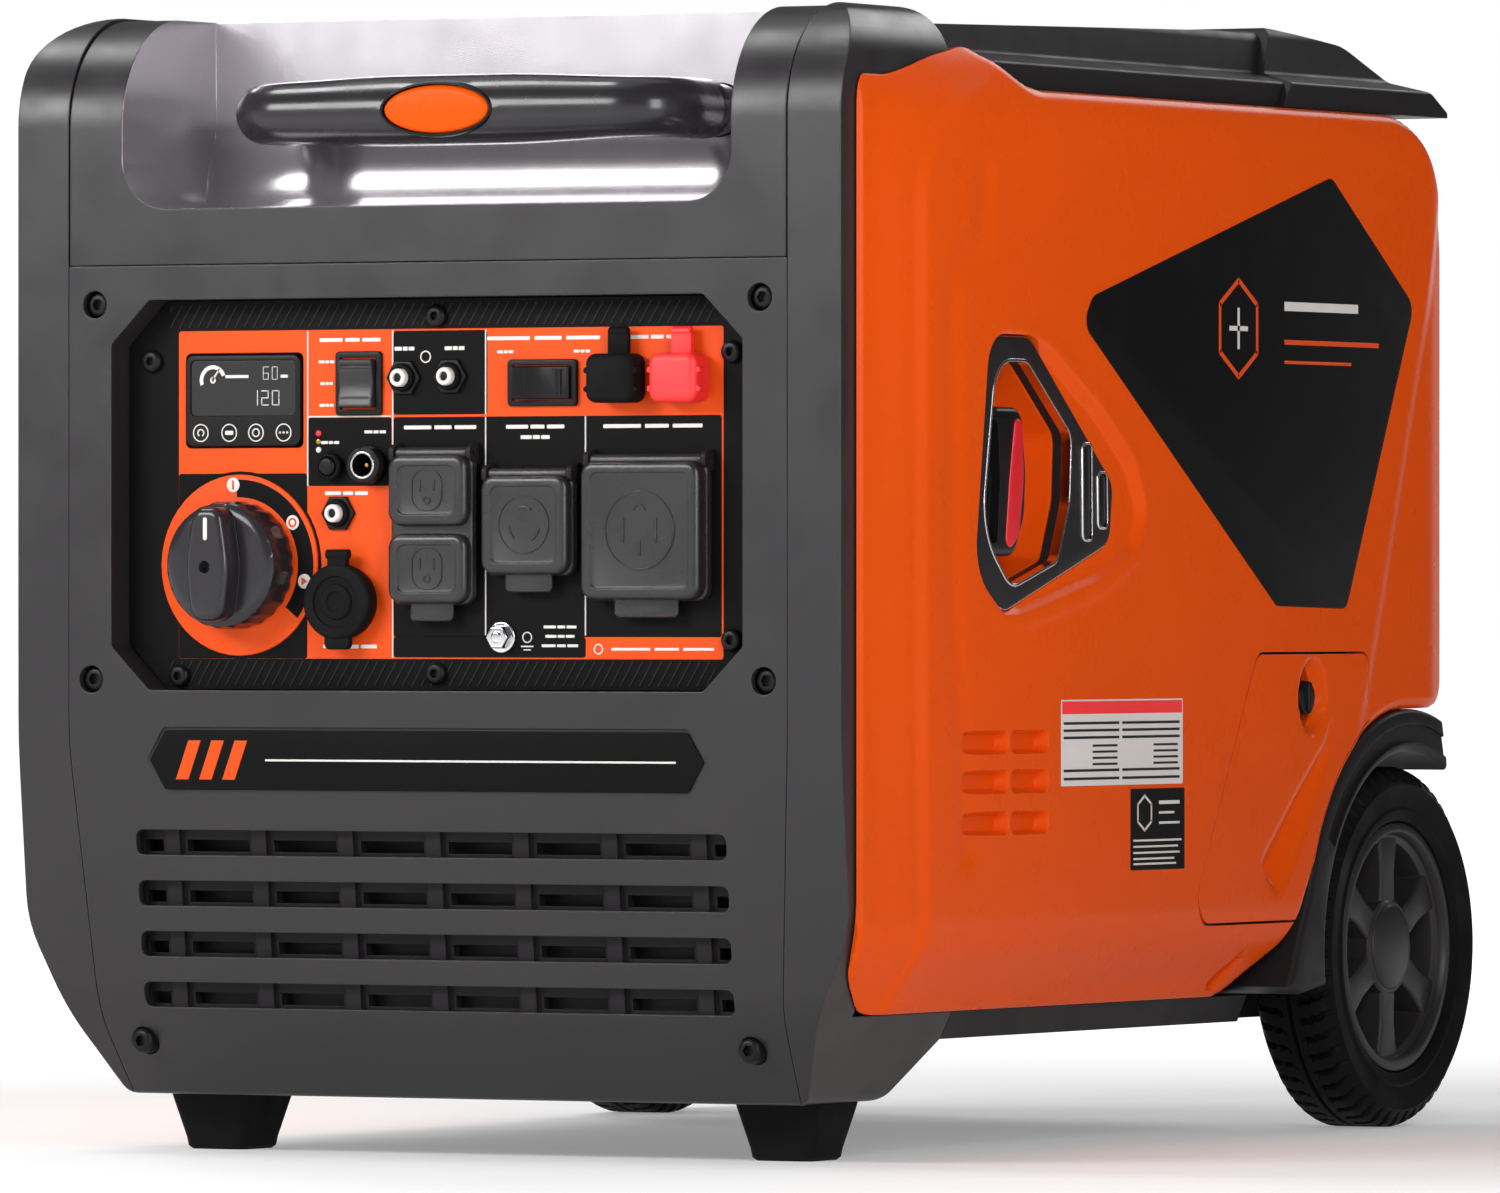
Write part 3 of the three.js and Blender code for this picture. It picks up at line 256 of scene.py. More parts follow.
def inset(outline, amount):
    """The outline moved inwards."""
    points = np.array(outline, float)
    following = np.roll(points, -1, 0)
    area = np.sum(points[:, 0] * following[:, 1] - following[:, 0] * points[:, 1])
    edge = following - points
    edge /= np.maximum(np.linalg.norm(edge, axis=1), 1e-9)[:, None]
    normal = np.stack([-edge[:, 1], edge[:, 0]], 1) * math.copysign(1, area)
    both = normal + np.roll(normal, 1, 0)
    both /= np.maximum(1 + np.sum(normal * np.roll(normal, 1, 0), axis=1), 0.35)[:, None]
    return points + both * amount


# ---------------------------------------------------------------- solids
PLACES = {
    "x": lambda u, v, w: (w, u, v),
    "y": lambda u, v, w: (u, w, v),
    "z": lambda u, v, w: (u, v, w),
}


def placed(name, data):
    """An object around its data, linked into the scene."""
    thing = bpy.data.objects.new(name, data)
    bpy.context.scene.collection.objects.link(thing)
    return thing


def mesh_object(vertices, faces):
    """A closed mesh object from points in millimetres."""
    data = bpy.data.meshes.new("part")
    data.from_pydata([tuple(c * MM for c in v) for v in vertices], [], faces)
    work = bmesh.new()
    work.from_mesh(data)
    bmesh.ops.remove_doubles(work, verts=work.verts, dist=1e-6)
    bmesh.ops.recalc_face_normals(work, faces=work.faces)
    work.to_mesh(data)
    work.free()
    return placed("part", data)


def strips(rows, count, wrap=False):
    """The faces between rings of points, one after another; wrap joins the last ring to the first."""
    return [(r * count + k, r * count + (k + 1) % count,
             (r + 1) % rows * count + (k + 1) % count, (r + 1) % rows * count + k)
            for r in range(rows if wrap else rows - 1) for k in range(count)]


def tube_object(vertices, rows, count):
    """A closed mesh object through rings of points, capped at both ends."""
    caps = [tuple(range(count))[::-1], tuple((rows - 1) * count + k for k in range(count))]
    return mesh_object(vertices, strips(rows, count) + caps)


def loft(axis, rings):
    """A closed solid through rings (outline, along) with the same number of points."""
    vertices = [PLACES[axis](u, v, along) for outline, along in rings for u, v in outline]
    return tube_object(vertices, len(rings), len(rings[0][0]))


def prism(axis, outline, low, high, round_low=0, round_high=0, steps=4):
    """An outline pushed along an axis, with rounded ends: x takes (Y, Z), y takes (X, Z), z takes (X, Y)."""
    if any(len(c) > 2 for c in outline):
        outline = filleted(outline)
    rings = []
    quarter = [math.pi / 2 * k / steps for k in range(steps + 1)]
    for amount, end, way in ((round_low, low, 1), (round_high, high, -1)):
        if not amount:
            rings.append([(inset(outline, 0), end)])
            continue
        rings.append([(inset(outline, amount * (1 - math.sin(a))), end + way * amount * (1 - math.cos(a)))
                      for a in quarter])
    return loft(axis, rings[0] + rings[1][::-1])


def box(x, y, z):
    return prism("z", [(x[0], y[0]), (x[1], y[0]), (x[1], y[1]), (x[0], y[1])], *z)


def rod(axis, u, v, r, low, high, round_low=0, round_high=0, count=48):
    return prism(axis, ellipse(u, v, r, count=count), low, high, round_low, round_high)


def turned(axis, u, v, profile, count=72):
    """A closed profile of (radius, along) turned about an axis through (u, v)."""
    angles = [2 * math.pi * k / count for k in range(count)]
    thing = mesh_object([PLACES[axis](u + r * math.cos(a), v + r * math.sin(a), along)
                         for a in angles for r, along in profile], strips(count, len(profile), wrap=True))
    work = bmesh.new()
    work.from_mesh(thing.data)
    bmesh.ops.dissolve_degenerate(work, dist=1e-7, edges=work.edges)
    work.to_mesh(thing.data)
    work.free()
    return thing


def combine(kind, first, others):
    for solver in ("MANIFOLD", "EXACT"):
        for other in others:
            modifier = first.modifiers.new("combine", "BOOLEAN")
            modifier.operation = kind
            modifier.object = other
            modifier.solver = solver
        depsgraph = bpy.context.evaluated_depsgraph_get()
        made = bpy.data.meshes.new_from_object(first.evaluated_get(depsgraph))
        first.modifiers.clear()
        if len(made.polygons) > 3:
            break
    else:
        raise RuntimeError(f"an empty {kind} for {first.name}")
    first.data = made
    for other in others:
        bpy.data.objects.remove(other)
    return first


def cut(first, *others):
    return combine("DIFFERENCE", first, others)


def join(first, *others):
    return combine("UNION", first, others) if others else first


def common(first, *others):
    return combine("INTERSECT", first, others)


def merged(*things):
    """Separate solids kept in one mesh, with no boolean."""
    work = bmesh.new()
    for thing in things:
        work.from_mesh(thing.data)
    data = bpy.data.meshes.new("merged")
    work.to_mesh(data)
    work.free()
    for thing in things:
        bpy.data.objects.remove(thing)
    return placed("merged", data)


def bevelled(thing, width, segments, angle=35):
    modifier = thing.modifiers.new("bevel", "BEVEL")
    modifier.width = width * MM
    modifier.segments = segments
    modifier.limit_method = "ANGLE"
    modifier.angle_limit = math.radians(angle)
    modifier.harden_normals = False


def piece(name, thing, material, body="casing", replaces=(), slot=None, bevel=0.0, angle=35):
    """Names a solid, gives it its finish and smooth shading, and lets it ride on a CAD body."""
    thing.name = name
    thing.data.name = name
    thing.data.materials.clear()
    thing.data.materials.append(material)
    if bevel:
        bevelled(thing, bevel, 3, angle)
    thing.data.shade_smooth()
    thing.data.set_sharp_from_angle(angle=math.radians(angle))
    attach(thing, body)
    if replaces:
        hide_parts(*([replaces] if isinstance(replaces, str) else replaces))
    slot = slot or USUAL_SLOT.get(material.name)
    return thing


def span(side, near, far):
    return (near, far) if side > 0 else (-far, -near)


# ---------------------------------------------------------------- body outlines, as in the CAD part
def front_view(half, top, radius=30):
    belly = BELLY_HALF + half - HOOP_HALF
    return [(half, SHOULDER, 60), (half, top, radius), (-half, top, radius), (-half, SHOULDER, 60),
            (-belly, CLEARANCE, 8), (belly, CLEARANCE, 8)]


def lean_points(amount=0):
    return [(at(LEAN_FOOT) + amount, CLEARANCE, 4), (at(LEAN_KNEE) + amount, LEAN_KNEE_Z, 60),
            (at(0) + amount, LEAN_END_Z, 300)]


def lean_at(z):
    return at(LEAN_KNEE * (LEAN_END_Z - z) / (LEAN_END_Z - LEAN_KNEE_Z))


def within_seam(amount, low=-9, high=STEP_DEPTH + 20):
    line = [(HOOP_SEAM - amount, BODY_HEIGHT + 20, 0), (HOOP_SEAM - amount, LEAN_END_Z, 300),
            (HOOP_SEAM - 10 - amount, 60, 60), (HOOP_SEAM - 14 - amount, CLEARANCE - 5, 0)]
    return prism("y", line + [(-x, z, r) for x, z, r in reversed(line)], at(low), at(high))


def arch_points(radius, first, last, count=24):
    return [(AXLE_Y + radius * math.cos(math.radians(first + (last - first) * k / count)),
             AXLE_Z + radius * math.sin(math.radians(first + (last - first) * k / count)))
            for k in range(count + 1)]


# ---------------------------------------------------------------- orange side panels
DOOR_LOW = 107.5
DOOR_HIGH = 243
LATCH = (at(485), 220)
RECOIL = [(at(150), 262, 16), (at(264), 296, 12), (at(268), 326, 12), (at(178), 397, 22), (at(131), 397, 18),
          (at(115), 280, 30)]
FACE_OUTLINE = filleted([(at(68), 60), (at(64), 269), (at(64), 478, 45), (at(101), 507, 45), (at(150), 530),
                         (at(720), 530), (at(720), 60)])


def door_outline(gap):
    arc = arch_points(ARCH_RADIUS + 4 + gap, 113, 156)
    return filleted([(at(345 + gap), DOOR_LOW + gap, 14), (at(470 - gap), DOOR_LOW + gap, 2), *reversed(arc),
                     (at(549 - gap), DOOR_HIGH - gap, 8), (at(421 + gap), DOOR_HIGH - gap, 12)])


def panel_outline():
    return filleted([
        (at(14), SILL, 50), (at(14), HOOP_TOP - 10, 40), (at(113), HOOP_TOP - 10, 12),
        (at(182), PANEL_TOP, 60), (at(650), PANEL_TOP, 75), (at(650), AXLE_Z + ARCH_RADIUS, 14),
        *arch_points(ARCH_RADIUS, 95, 158), (at(462), 96, 10), (at(428), SILL, 40)], degrees=4)


def distance(points, outline, closed=True):
    """Signed distance of points (n, 2) from an outline, positive inside."""
    corners = np.array([c[:2] for c in outline], float)
    ends = np.roll(corners, -1, 0)
    if not closed:
        corners, ends = corners[:-1], ends[:-1]
    best = np.full(len(points), 1e9)
    inside = np.zeros(len(points), bool)
    for a, b in zip(corners, ends):
        along = b - a
        t = np.clip(((points - a) @ along) / max(along @ along, 1e-9), 0, 1)
        gap = points - a - t[:, None] * along
        best = np.minimum(best, np.hypot(gap[:, 0], gap[:, 1]))
        crosses = (a[1] > points[:, 1]) != (b[1] > points[:, 1])
        rise = b[1] - a[1] if abs(b[1] - a[1]) > 1e-9 else 1e-9
        inside ^= crosses & (points[:, 0] < a[0] + (points[:, 1] - a[1]) / rise * along[0])
    return np.where(inside, best, -best) if closed else best


def smooth(values, low, high):
    t = np.clip((values - low) / (high - low), 0, 1)
    return t * t * (3 - 2 * t)


def edge_round(inside, radius):
    """How far a surface drops near its edge, for a quarter-round of this radius."""
    t = np.clip(1 - inside / radius, 0, 1)
    return radius * (1 - np.sqrt(np.maximum(0, 1 - t * t)))


VENTS = [filleted(rectangle(at(d0), at(d1), z - 5.5, z + 5.5, 5)) for z in (200.5, 181.5, 161.5)
         for d0, d1 in ((103, 151), (153, 193))]
SCOOP = filleted([(at(511), 216, 3), (at(500), 198, 30), (at(466), 172, 40), (at(427), 139, 6),
                  (at(433), 127, 10), (at(446), 121, 8), (at(462), 136, 20), (at(498), 182, 60)])
SUNK_SCREW = filleted([(at(404), 76, 4), (at(414), 74, 4), (at(430), 91, 4), (at(424), 94, 4)])
DISH = filleted([(at(158), 398.5, 14), (at(193), 392, 30), (at(252), 361, 60), (at(285), 337, 24),
                 (at(300), 312, 16), (at(288), 293, 16), (at(250), 278, 60), (at(166), 261, 20),
                 (at(147), 260.5, 14), (at(118), 280, 30), (at(133), 397, 18)])
CREASE = [(at(128), 470), (at(122), 442), (at(101), 427), (at(92), 410), (at(94), 269), (at(108), 150)]


def hoop_surface(z):
    """Half width of the hoops at a height."""
    over = np.clip(z - (HOOP_TOP - 30), 0, 29)
    return HOOP_HALF - 30 + np.sqrt(900 - over * over)


def skin_height(points, right):
    """X of the orange skin over (Y, Z) points."""
    y, z = points[:, 0], points[:, 1]
    depth = y - FRONT
    face = distance(points, FACE_OUTLINE)
    x = SKIN - (PANEL_PROUD - 2.4) * smooth(-face, -2, 50) - 2.4 * smooth(-face, -4, 7)
    x -= 1.0 * smooth(16 - distance(points, CREASE, closed=False), 0, 16) * smooth(face, 0, 14)
    x -= 23.2 * smooth(118 - z, 0, 50) ** 1.3 + 5 * smooth(depth, 614, 654) ** 1.5
    x -= HOOP_HALF - hoop_surface(z) + (SKIN - HOOP_HALF - 3.8) * smooth(z, 500, 546)
    rear_line = np.interp(z, [198, 269, 471, 520], [534, 561, 634, 650])
    x -= 2.0 * smooth(depth - rear_line, -2, 14) * smooth(z, 170, 215)
    radius = 3 + 2 * smooth(depth, 70, 120) * smooth(z, 90, 120)
    x -= edge_round(distance(points, panel_outline()) / radius, 1) * radius
    if not right:
        return x
    dish = distance(points, DISH)
    x -= 3.6 * smooth(dish, 0, 5)
    x += 0.9 * np.exp(-((dish + 3) / 3) ** 2) * smooth(depth, 150, 200)
    latch = 1 - np.hypot((y - LATCH[0]) / 16.5, (z - LATCH[1]) / 20)
    x -= 6.5 * smooth(latch, 0, 0.26)
    scoop = distance(points, SCOOP)
    x -= 7.5 * smooth(scoop, 0, 12) + 0.6 * smooth(scoop, -2, 1)
    x -= 7 * smooth(distance(points, SUNK_SCREW), 0, 4)
    return np.minimum(x, HALF - 0.02)


def skin(side, y_range, z_range, step, thickness=None, back=190):
    """A closed solid under the orange skin over a rectangle of (Y, Z)."""
    ys = np.linspace(*y_range, int((y_range[1] - y_range[0]) / step) + 1)
    zs = np.linspace(*z_range, int((z_range[1] - z_range[0]) / step) + 1)
    grid = np.stack(np.meshgrid(ys, zs, indexing="ij"), -1).reshape(-1, 2)
    outer = skin_height(grid, side > 0)
    inner = outer - thickness if thickness else np.full(len(outer), float(back))
    rows, columns = len(ys), len(zs)
    total = rows * columns
    points = np.concatenate([np.column_stack([side * outer, grid]), np.column_stack([side * inner, grid])])
    faces = []
    for i in range(rows - 1):
        for j in range(columns - 1):
            a, d = i * columns + j, i * columns + j + 1
            b, c = a + columns, d + columns
            faces += [(a, b, c, d), (d + total, c + total, b + total, a + total)]
    rim = [i * columns for i in range(rows)] + [(rows - 1) * columns + j for j in range(1, columns)]
    rim += [i * columns + columns - 1 for i in range(rows - 2, -1, -1)] + list(range(columns - 2, 0, -1))
    for k, a in enumerate(rim):
        b = rim[(k + 1) % len(rim)]
        faces.append((a, b, b + total, a + total))
    return mesh_object(points, faces)


STEP = 2.0
OUTER = (180, HALF + 9)     # how far a cutter runs through a side panel
for SIDE_NAME, SIDE in MIRROR.items():
    openings = [prism("y", front_view(HOOP_HALF + 0.8, HOOP_TOP + SEAM), at(-9), at(720))]
    if SIDE > 0:
        openings += [prism("x", RECOIL, *OUTER), prism("x", door_outline(0), *OUTER)]
        openings += [loft("x", [(inset(v, amount), HALF + along) for amount, along in (
            (2, -7.5), (1.2, -6.6), (0.2, -1.4), (-0.6, -0.3), (-0.6, 9))]) for v in VENTS]
    side_skin = skin(SIDE, (at(10), at(654)), (66, HOOP_TOP - 6), STEP)
    side_skin = cut(common(side_skin, prism("x", panel_outline(), *span(SIDE, *OUTER))), *openings)
    piece(f"{SIDE_NAME}_skin", side_skin, ORANGE, "casing", f"{SIDE_NAME}_side_panel")

door = skin(1, (at(338), at(556)), (100, 250), STEP, thickness=4.2)
door = common(door, prism("x", door_outline(1.2), *OUTER))
door = cut(door, prism("x", ellipse(*LATCH, 9 + PLAY, 15 + PLAY), *OUTER))
piece("door_skin", door, ORANGE, "service_door", "service_door")

# ---------------------------------------------------------------- hoops, front cover and handle housing
def hoop_side():
    return filleted([*lean_points(), (at(0), HOOP_TOP, 65), (at(HOOP_DEPTH), HOOP_TOP, 4),
                     (at(HOOP_DEPTH), PANEL_TOP + SEAM), (at(48), PANEL_TOP + SEAM, 20),
                     (at(48), SILL - SEAM), (at(STEP_DEPTH), SILL - SEAM), (at(STEP_DEPTH), FLOOR_STEP, 3),
                     (at(STEP_DEPTH - 35), CLEARANCE, 20)],
                    degrees=5)


for SIDE_NAME, SIDE in MIRROR.items():
    hoop = prism("x", hoop_side(), *span(SIDE, 150, HOOP_HALF + 5))
    hoop = common(hoop, prism("y", front_view(HOOP_HALF, HOOP_TOP), at(-5), at(STEP_DEPTH + 10)))
    hoop = cut(hoop, within_seam(-SEAM))
    piece(f"{SIDE_NAME}_hoop_shell", hoop, CASING, "casing", f"{SIDE_NAME}_hoop", bevel=5.0)


def recess(amount, low, high):
    half, bottom, top, c = 174.3 - amount, 225.2 + amount, 414.5 - amount, 21.5
    return prism("y", [(half, bottom + c, 3), (half, top - c, 3), (half - c, top, 3), (-half + c, top, 3),
                       (-half, top - c, 3), (-half, bottom + c, 3), (-half + c, bottom, 3),
                       (half - c, bottom, 3)],
                 low, high)


def slab(u0, u1, v0, v1, near, far, r=1.0, **rounding):
    """A plate that faces the front, over X from u0 to u1 and Z from v0 to v1."""
    return prism("y", rectangle(u0, u1, v0, v1, r), near, far, **rounding)


def within(area, margin, near, far, r=1.0, **rounding):
    """A plate over an area (X0, X1, Z0, Z1) that is made smaller by a margin all round."""
    u0, u1, v0, v1 = area
    return slab(u0 + margin, u1 - margin, v0 + margin, v1 - margin, near, far, r, **rounding)


def around(x, z, w, h):
    """The area of a width and a height about a centre."""
    return x - w / 2, x + w / 2, z - h / 2, z + h / 2


def sloped(axis, outline, low, high, spread_low):
    """A tool that is wider by spread_low at its low end, for an edge that is broken by a chamfer."""
    outline = filleted(outline)
    return loft(axis, [(inset(outline, -spread_low), low), (inset(outline, 0), high)])


SLOTS = [151.4 - 24.7 * k for k in range(4)]
CASE_SCREWS = [(183.5, 412.5), (185.6, 230.5), (168, 54.4)]


def front_cover():
    back, top = at(LEAN_FOOT + 5), HOUSING_BOTTOM - SEAM
    outer = prism("x", [*lean_points(), (at(0), top), (back, top), (back, CLEARANCE)], -HOOP_SEAM, HOOP_SEAM)
    outer = common(outer, within_seam(0))
    inside = prism("x", [*[(y, z + 4, *r) for y, z, *r in lean_points(4)], (at(4), top + 9),
                                  (back + 1, top + 9), (back + 1, CLEARANCE + 4)], -HOOP_SEAM, HOOP_SEAM)
    inside = cut(common(inside, within_seam(4)), recess(-4, at(-5), at(20)))
    tools = [recess(0, at(-5), at(60)), inside]
    plate = [(154.4, 191.5, 2), (144.9, 207.2, 3), (-144.9, 207.2, 3), (-154.4, 191.5, 2),
             (-144.9, 175.8, 3), (144.9, 175.8, 3)]
    tools.append(sloped("y", plate, at(-5), at(1.6), 1.2))
    tools += [slab(-163, 163, z - 6.15, z + 6.15, at(-5), at(30), 4) for z in SLOTS]
    tools += [rod("y", sx, z, 6.7, at(-5), at(60)) for x, z in CASE_SCREWS for sx in (x, -x)]
    # the lip under the grille: a shallow fold that slants away at both ends
    lip = prism("y", [(-171, 24), (-145, 53, 4), (145, 53, 4), (171, 24)], at(-5), lean_at(53) + 2.2)
    tools.append(common(lip, box((-200, 200), (at(-5), at(80)), (20, 53))))
    return cut(outer, *tools)



piece("front_shell", front_cover(), CASING, "casing", "front_cover", bevel=1.2)


GRILLE_PITCH = 48.5


def grille():
    low, high = SLOTS[-1] - 8, SLOTS[0] + 12

    def slanted(near, far, x0, x1):
        return prism("x", [(lean_at(low) + near, low), (lean_at(high) + near, high),
                           (lean_at(high) + far, high), (lean_at(low) + far, low)], x0, x1)
    bars = [slanted(8, 14, -169, 169)]
    bars += [slanted(5, 14, x - 4, x + 4) for x in (GRILLE_PITCH * k for k in range(-3, 4))]
    windows = [box((max(x - 17.5, -163), min(x + 17.5, 163)), (at(4), at(60)), (z - 4.5, z + 1.2))
               for z in SLOTS for x in (GRILLE_PITCH * (c - 3.5) for c in range(8))]
    return cut(join(*bars), *windows)


piece("grille_ribs", grille(), TRIM, "casing", "grille_insert", bevel=0.8)
core = box((-168, 168), (at(30), at(34)), (SLOTS[-1] - 12, SLOTS[0] + 12))
piece("grille_shadow", core, DARK)


def housing():
    outer = prism("x",
                  filleted([(at(0), HOUSING_BOTTOM), (at(0), HOOP_TOP - 1.5, 65),
                            (at(HOOP_DEPTH), HOOP_TOP - 1.5, 3),
                                 (at(HOOP_DEPTH),
                                  HOUSING_BOTTOM)], degrees=5), -HOOP_SEAM + SEAM, HOOP_SEAM - SEAM)
    tray = prism("x", filleted([(at(-5), SCOOP_FLOOR), (at(SCOOP_DEPTH), SCOOP_FLOOR, 55),
                                (at(SCOOP_DEPTH), HOOP_TOP + 20), (at(-5), HOOP_TOP + 20)], degrees=5),
                 -SCOOP_HALF, SCOOP_HALF)
    tray = common(tray, prism("y", [(-SCOOP_HALF, HOOP_TOP + 30), (-SCOOP_HALF, SCOOP_FLOOR, 24),
                                    (SCOOP_HALF, SCOOP_FLOOR, 24), (SCOOP_HALF, HOOP_TOP + 30)],
                              at(-10), at(SCOOP_DEPTH + 10)))
    under = box((-HOOP_SEAM + 8, HOOP_SEAM - 8), (at(8), at(HOOP_DEPTH - 4)),
                (HOUSING_BOTTOM - 1, SCOOP_FLOOR - 4))
    holes = [rod("y", x, GRIP_HEIGHT, TUBE_RADIUS + PLAY, at(SCOOP_DEPTH - 5), at(HOOP_DEPTH + 5))
             for x in (-TUBE_X, TUBE_X)]
    return cut(outer, tray, under, *holes)


housing_shell = piece("housing_shell", housing(), CASING, "casing", "handle_housing", bevel=2.5)
# the scoop faces take the pale metallic copy of the casing: painted reflection
housing_shell.data.materials.append(GLOSS_AND_PAINTED_REFLECTION)
for face in housing_shell.data.polygons:
    x, y, z = (c / MM for c in face.center)
    if abs(x) < SCOOP_HALF + 0.5 and at(0.5) < y < at(SCOOP_DEPTH + 0.5) and z > SCOOP_FLOOR - 0.5:
        face.material_index = 1

# ---------------------------------------------------------------- control panel and its labels
BREAKERS = [(-19.7, 376), (6, 376.5), (-56, 310.8)]
CO_BUTTON = (-60, 333.4)
INLET = (-38.8, 333.9)
DC = (-52.4, 268)
KNOB = (-111.4, 285.8)
DISPLAY = (-141, -77, 343.5, 387.7)
ENGINE_SWITCH = (-44.5, 373.4)
VOLTAGE_SWITCH = (57, 373)
GFCI = (-23.5, 21.8, 266.5, 339.6)
TWIST = (27.8, 77, 280.5, 329.5)
RV = (83.5, 150, 268.4, 335.8)
TERMINALS = [(101, 374), (135.5, 374)]
GROUND = (34.4, 251)
PUSHES = BREAKERS + [CO_BUTTON]
HOLES = [(*KNOB, 45.5)] + [(*p, 7.2) for p in PUSHES] + [(*INLET, 9.8), (*DC, 14.6)]

THROUGH = (FACE - 9, FACE + 20)             # near and far ends of cutters and of layers of plain print
PRINT = (FACE - 0.34, FACE - 0.18)
LINE_PRINT = (FACE - 0.34, FACE - 0.1)
DIAL_PRINT = (FACE - 1.6, FACE - 1.45)
SCREEN_PRINT = (FACE - 1.6, FACE - 1.36)
KEY_PRINT = (FACE - 2.2, FACE - 1.9)


def ring(u, v, outer, inner, near, far, first=0, last=360):
    """A flat ring or part of one, facing the front."""
    if last - first >= 360:
        return cut(rod("y", u, v, outer, near, far), rod("y", u, v, inner, near - 1, far + 1))
    angles = [math.radians(first + (last - first) * k / 32) for k in range(33)]
    return prism("y", [(u + r * math.cos(a), v + r * math.sin(a)) for r, way in ((outer, 1), (inner, -1))
                       for a in angles[::way]], near, far)


def label_block(name, area, material=LABEL, lift=0.2):
    """A sheet of plain label, with every device cleared from it."""
    devices = [rod("y", x, z, r, FACE - 2, FACE + 2) for x, z, r in HOLES]
    devices.append(within(DISPLAY, -1, FACE - 2, FACE + 2, 3))
    piece(name, cut(slab(*area, FACE - lift, FACE - 0.02, 1.5), *devices), material)


panel = recess(SEAM, FACE, FACE + 2.5)
panel = join(panel, *[rod("y", *p, 6.6, FACE - 5, FACE + 1, round_low=1.2) for p in PUSHES])
openings = [rod("y", *p, r, *THROUGH)
            for p, r in [*((p, 4.9) for p in PUSHES), (KNOB, 6.5), (INLET, 7.5), (DC, 14.5)]]
openings += [within(area, margin, *THROUGH, r) for area, margin, r in (
    (DISPLAY, -SEAM, 3), (GFCI, 6.5, 1), (TWIST, 6.5, 1), (RV, 6.5, 1),
    (around(*ENGINE_SWITCH, 22.5, 28), -SEAM, 1), (around(*VOLTAGE_SWITCH, 35, 19.5), -SEAM, 1))]
openings += [rod("y", *p, 6.5, *THROUGH) for p in TERMINALS]
piece("panel_plate", cut(panel, *openings), LABEL, "casing", "control_panel")

# a weave of fine slanted ribs along the margins of the plate
WEAVE_PITCH, WEAVE_WIDTH, WEAVE_SLANT = 5.2, 0.9, 0.6
ribs = []
for k in range(-12, 68):
    x = -172 + WEAVE_PITCH * k
    for v0, v1 in ((227.5, 239.5), (401, 412)):
        shift = (v1 - v0) * WEAVE_SLANT
        rib = [(x, v0), (x + WEAVE_WIDTH, v0), (x + WEAVE_WIDTH + shift, v1), (x + shift, v1)]
        ribs.append(prism("y", rib, FACE - 0.35, FACE - 0.02))
margin = common(merged(*ribs),
                prism("y", [(-151, 226.4), (151, 226.4), (151, 413), (-151, 413)], FACE - 2, FACE))
piece("panel_weave", margin, TRIM, slot="black_plastic")

label_block("label_backing", (-146, 155, 240.5, 399.5), LABEL_ORANGE, lift=0.12)
label_block("label_outlets", (-25.8, 154, 251.2, 357))
label_block("label_lower", (-25.8, 80, 241.3, 251.2))
label_block("label_breakers", (-25.8, 26, 358.2, 398.6))
label_block("label_inlet", (-73.3, -26.9, 324, 357))
label_block("label_dial", (-145.9, -73.9, 240.6, 330.2))

disc = rod("y", *KNOB, 44, FACE - 1.2, FACE - 0.02, round_low=0.5)
piece("dial_disc", cut(disc, rod("y", *KNOB, 6.5, *THROUGH)), LABEL_ORANGE)
piece("dial_groove", ring(*KNOB, 41.5, 33, FACE - 1.38, FACE - 1.19, -38, 92), LABEL)
dots = [rod("y", x, z, 3.6, FACE - 1.5, FACE - 1.3, round_low=0.1)
        for x, z in ((-114.7, 324.7), (-81.4, 306.4), (-74.8, 278))]
piece("dial_dots", merged(*dots), LABEL_WHITE)
piece("dial_marks", merged(slab(-115.2, -114.2, 322.5, 326.9, *DIAL_PRINT, 0.1),
                           ring(-81.4, 306.4, 2.3, 1.4, *DIAL_PRINT),
                           prism("y", [(-76.4, 276), (-73, 278), (-76.4, 280)], *DIAL_PRINT)), LABEL_ORANGE)


def bars(rows, height=1.9):
    """Plain dashes (centre X, Z, length) where a maker would print words."""
    made = []
    for x, z, length in rows:
        start = x - length / 2
        for share in (0.38, 0.24, 0.30):
            end = start + share * length
            made.append(slab(start, end, z - height / 2, z + height / 2, *PRINT, 0.4))
            start = end + 0.04 * length
    return made


white = bars([(-50, 394.5, 34), (57, 394.5, 62), (118, 394.5, 30), (-19.7, 390, 11), (8, 390, 11),
              (0, 352, 40), (52.4, 352, 32), (52.4, 347, 16), (116.7, 352, 54), (-52, 320.5, 24),
              (-50, 246.5, 30)])
white += bars([(-63, 384, 9), (-63, 373.5, 7), (-63, 363, 8), (36, 388, 9), (78, 388, 9), (-61, 345, 10),
               (-36, 350, 12)], height=1.5)
white += [ring(-8, 386, 3, 2.3, *PRINT), ring(48, 251, 2.7, 2.1, *PRINT),
          ring(87, 245.4, 2.6, 1.9, *LINE_PRINT)]
white += [slab(*area, *PRINT, 0.1) for area in ((44.6, 51.4, 246.3, 247), (46, 50, 244.7, 245.3))]
white += bars([(66, 256, 18), (66, 251.5, 16), (66, 247, 20), (122, 245.4, 56)], height=1.4)
white += [slab(u, u + 0.7, 252, 357, *PRINT, 0.1) for u in (24.8, 79.6)]
white += [slab(*area, *LINE_PRINT, 0.1) for area in (
    (-73.3, -27, 357.2, 357.9), (-26.6, -25.9, 241, 399), (24.8, 25.5, 358, 399), (-73.9, -73.2, 324, 399))]
piece("label_marks", merged(*white), LABEL_WHITE)
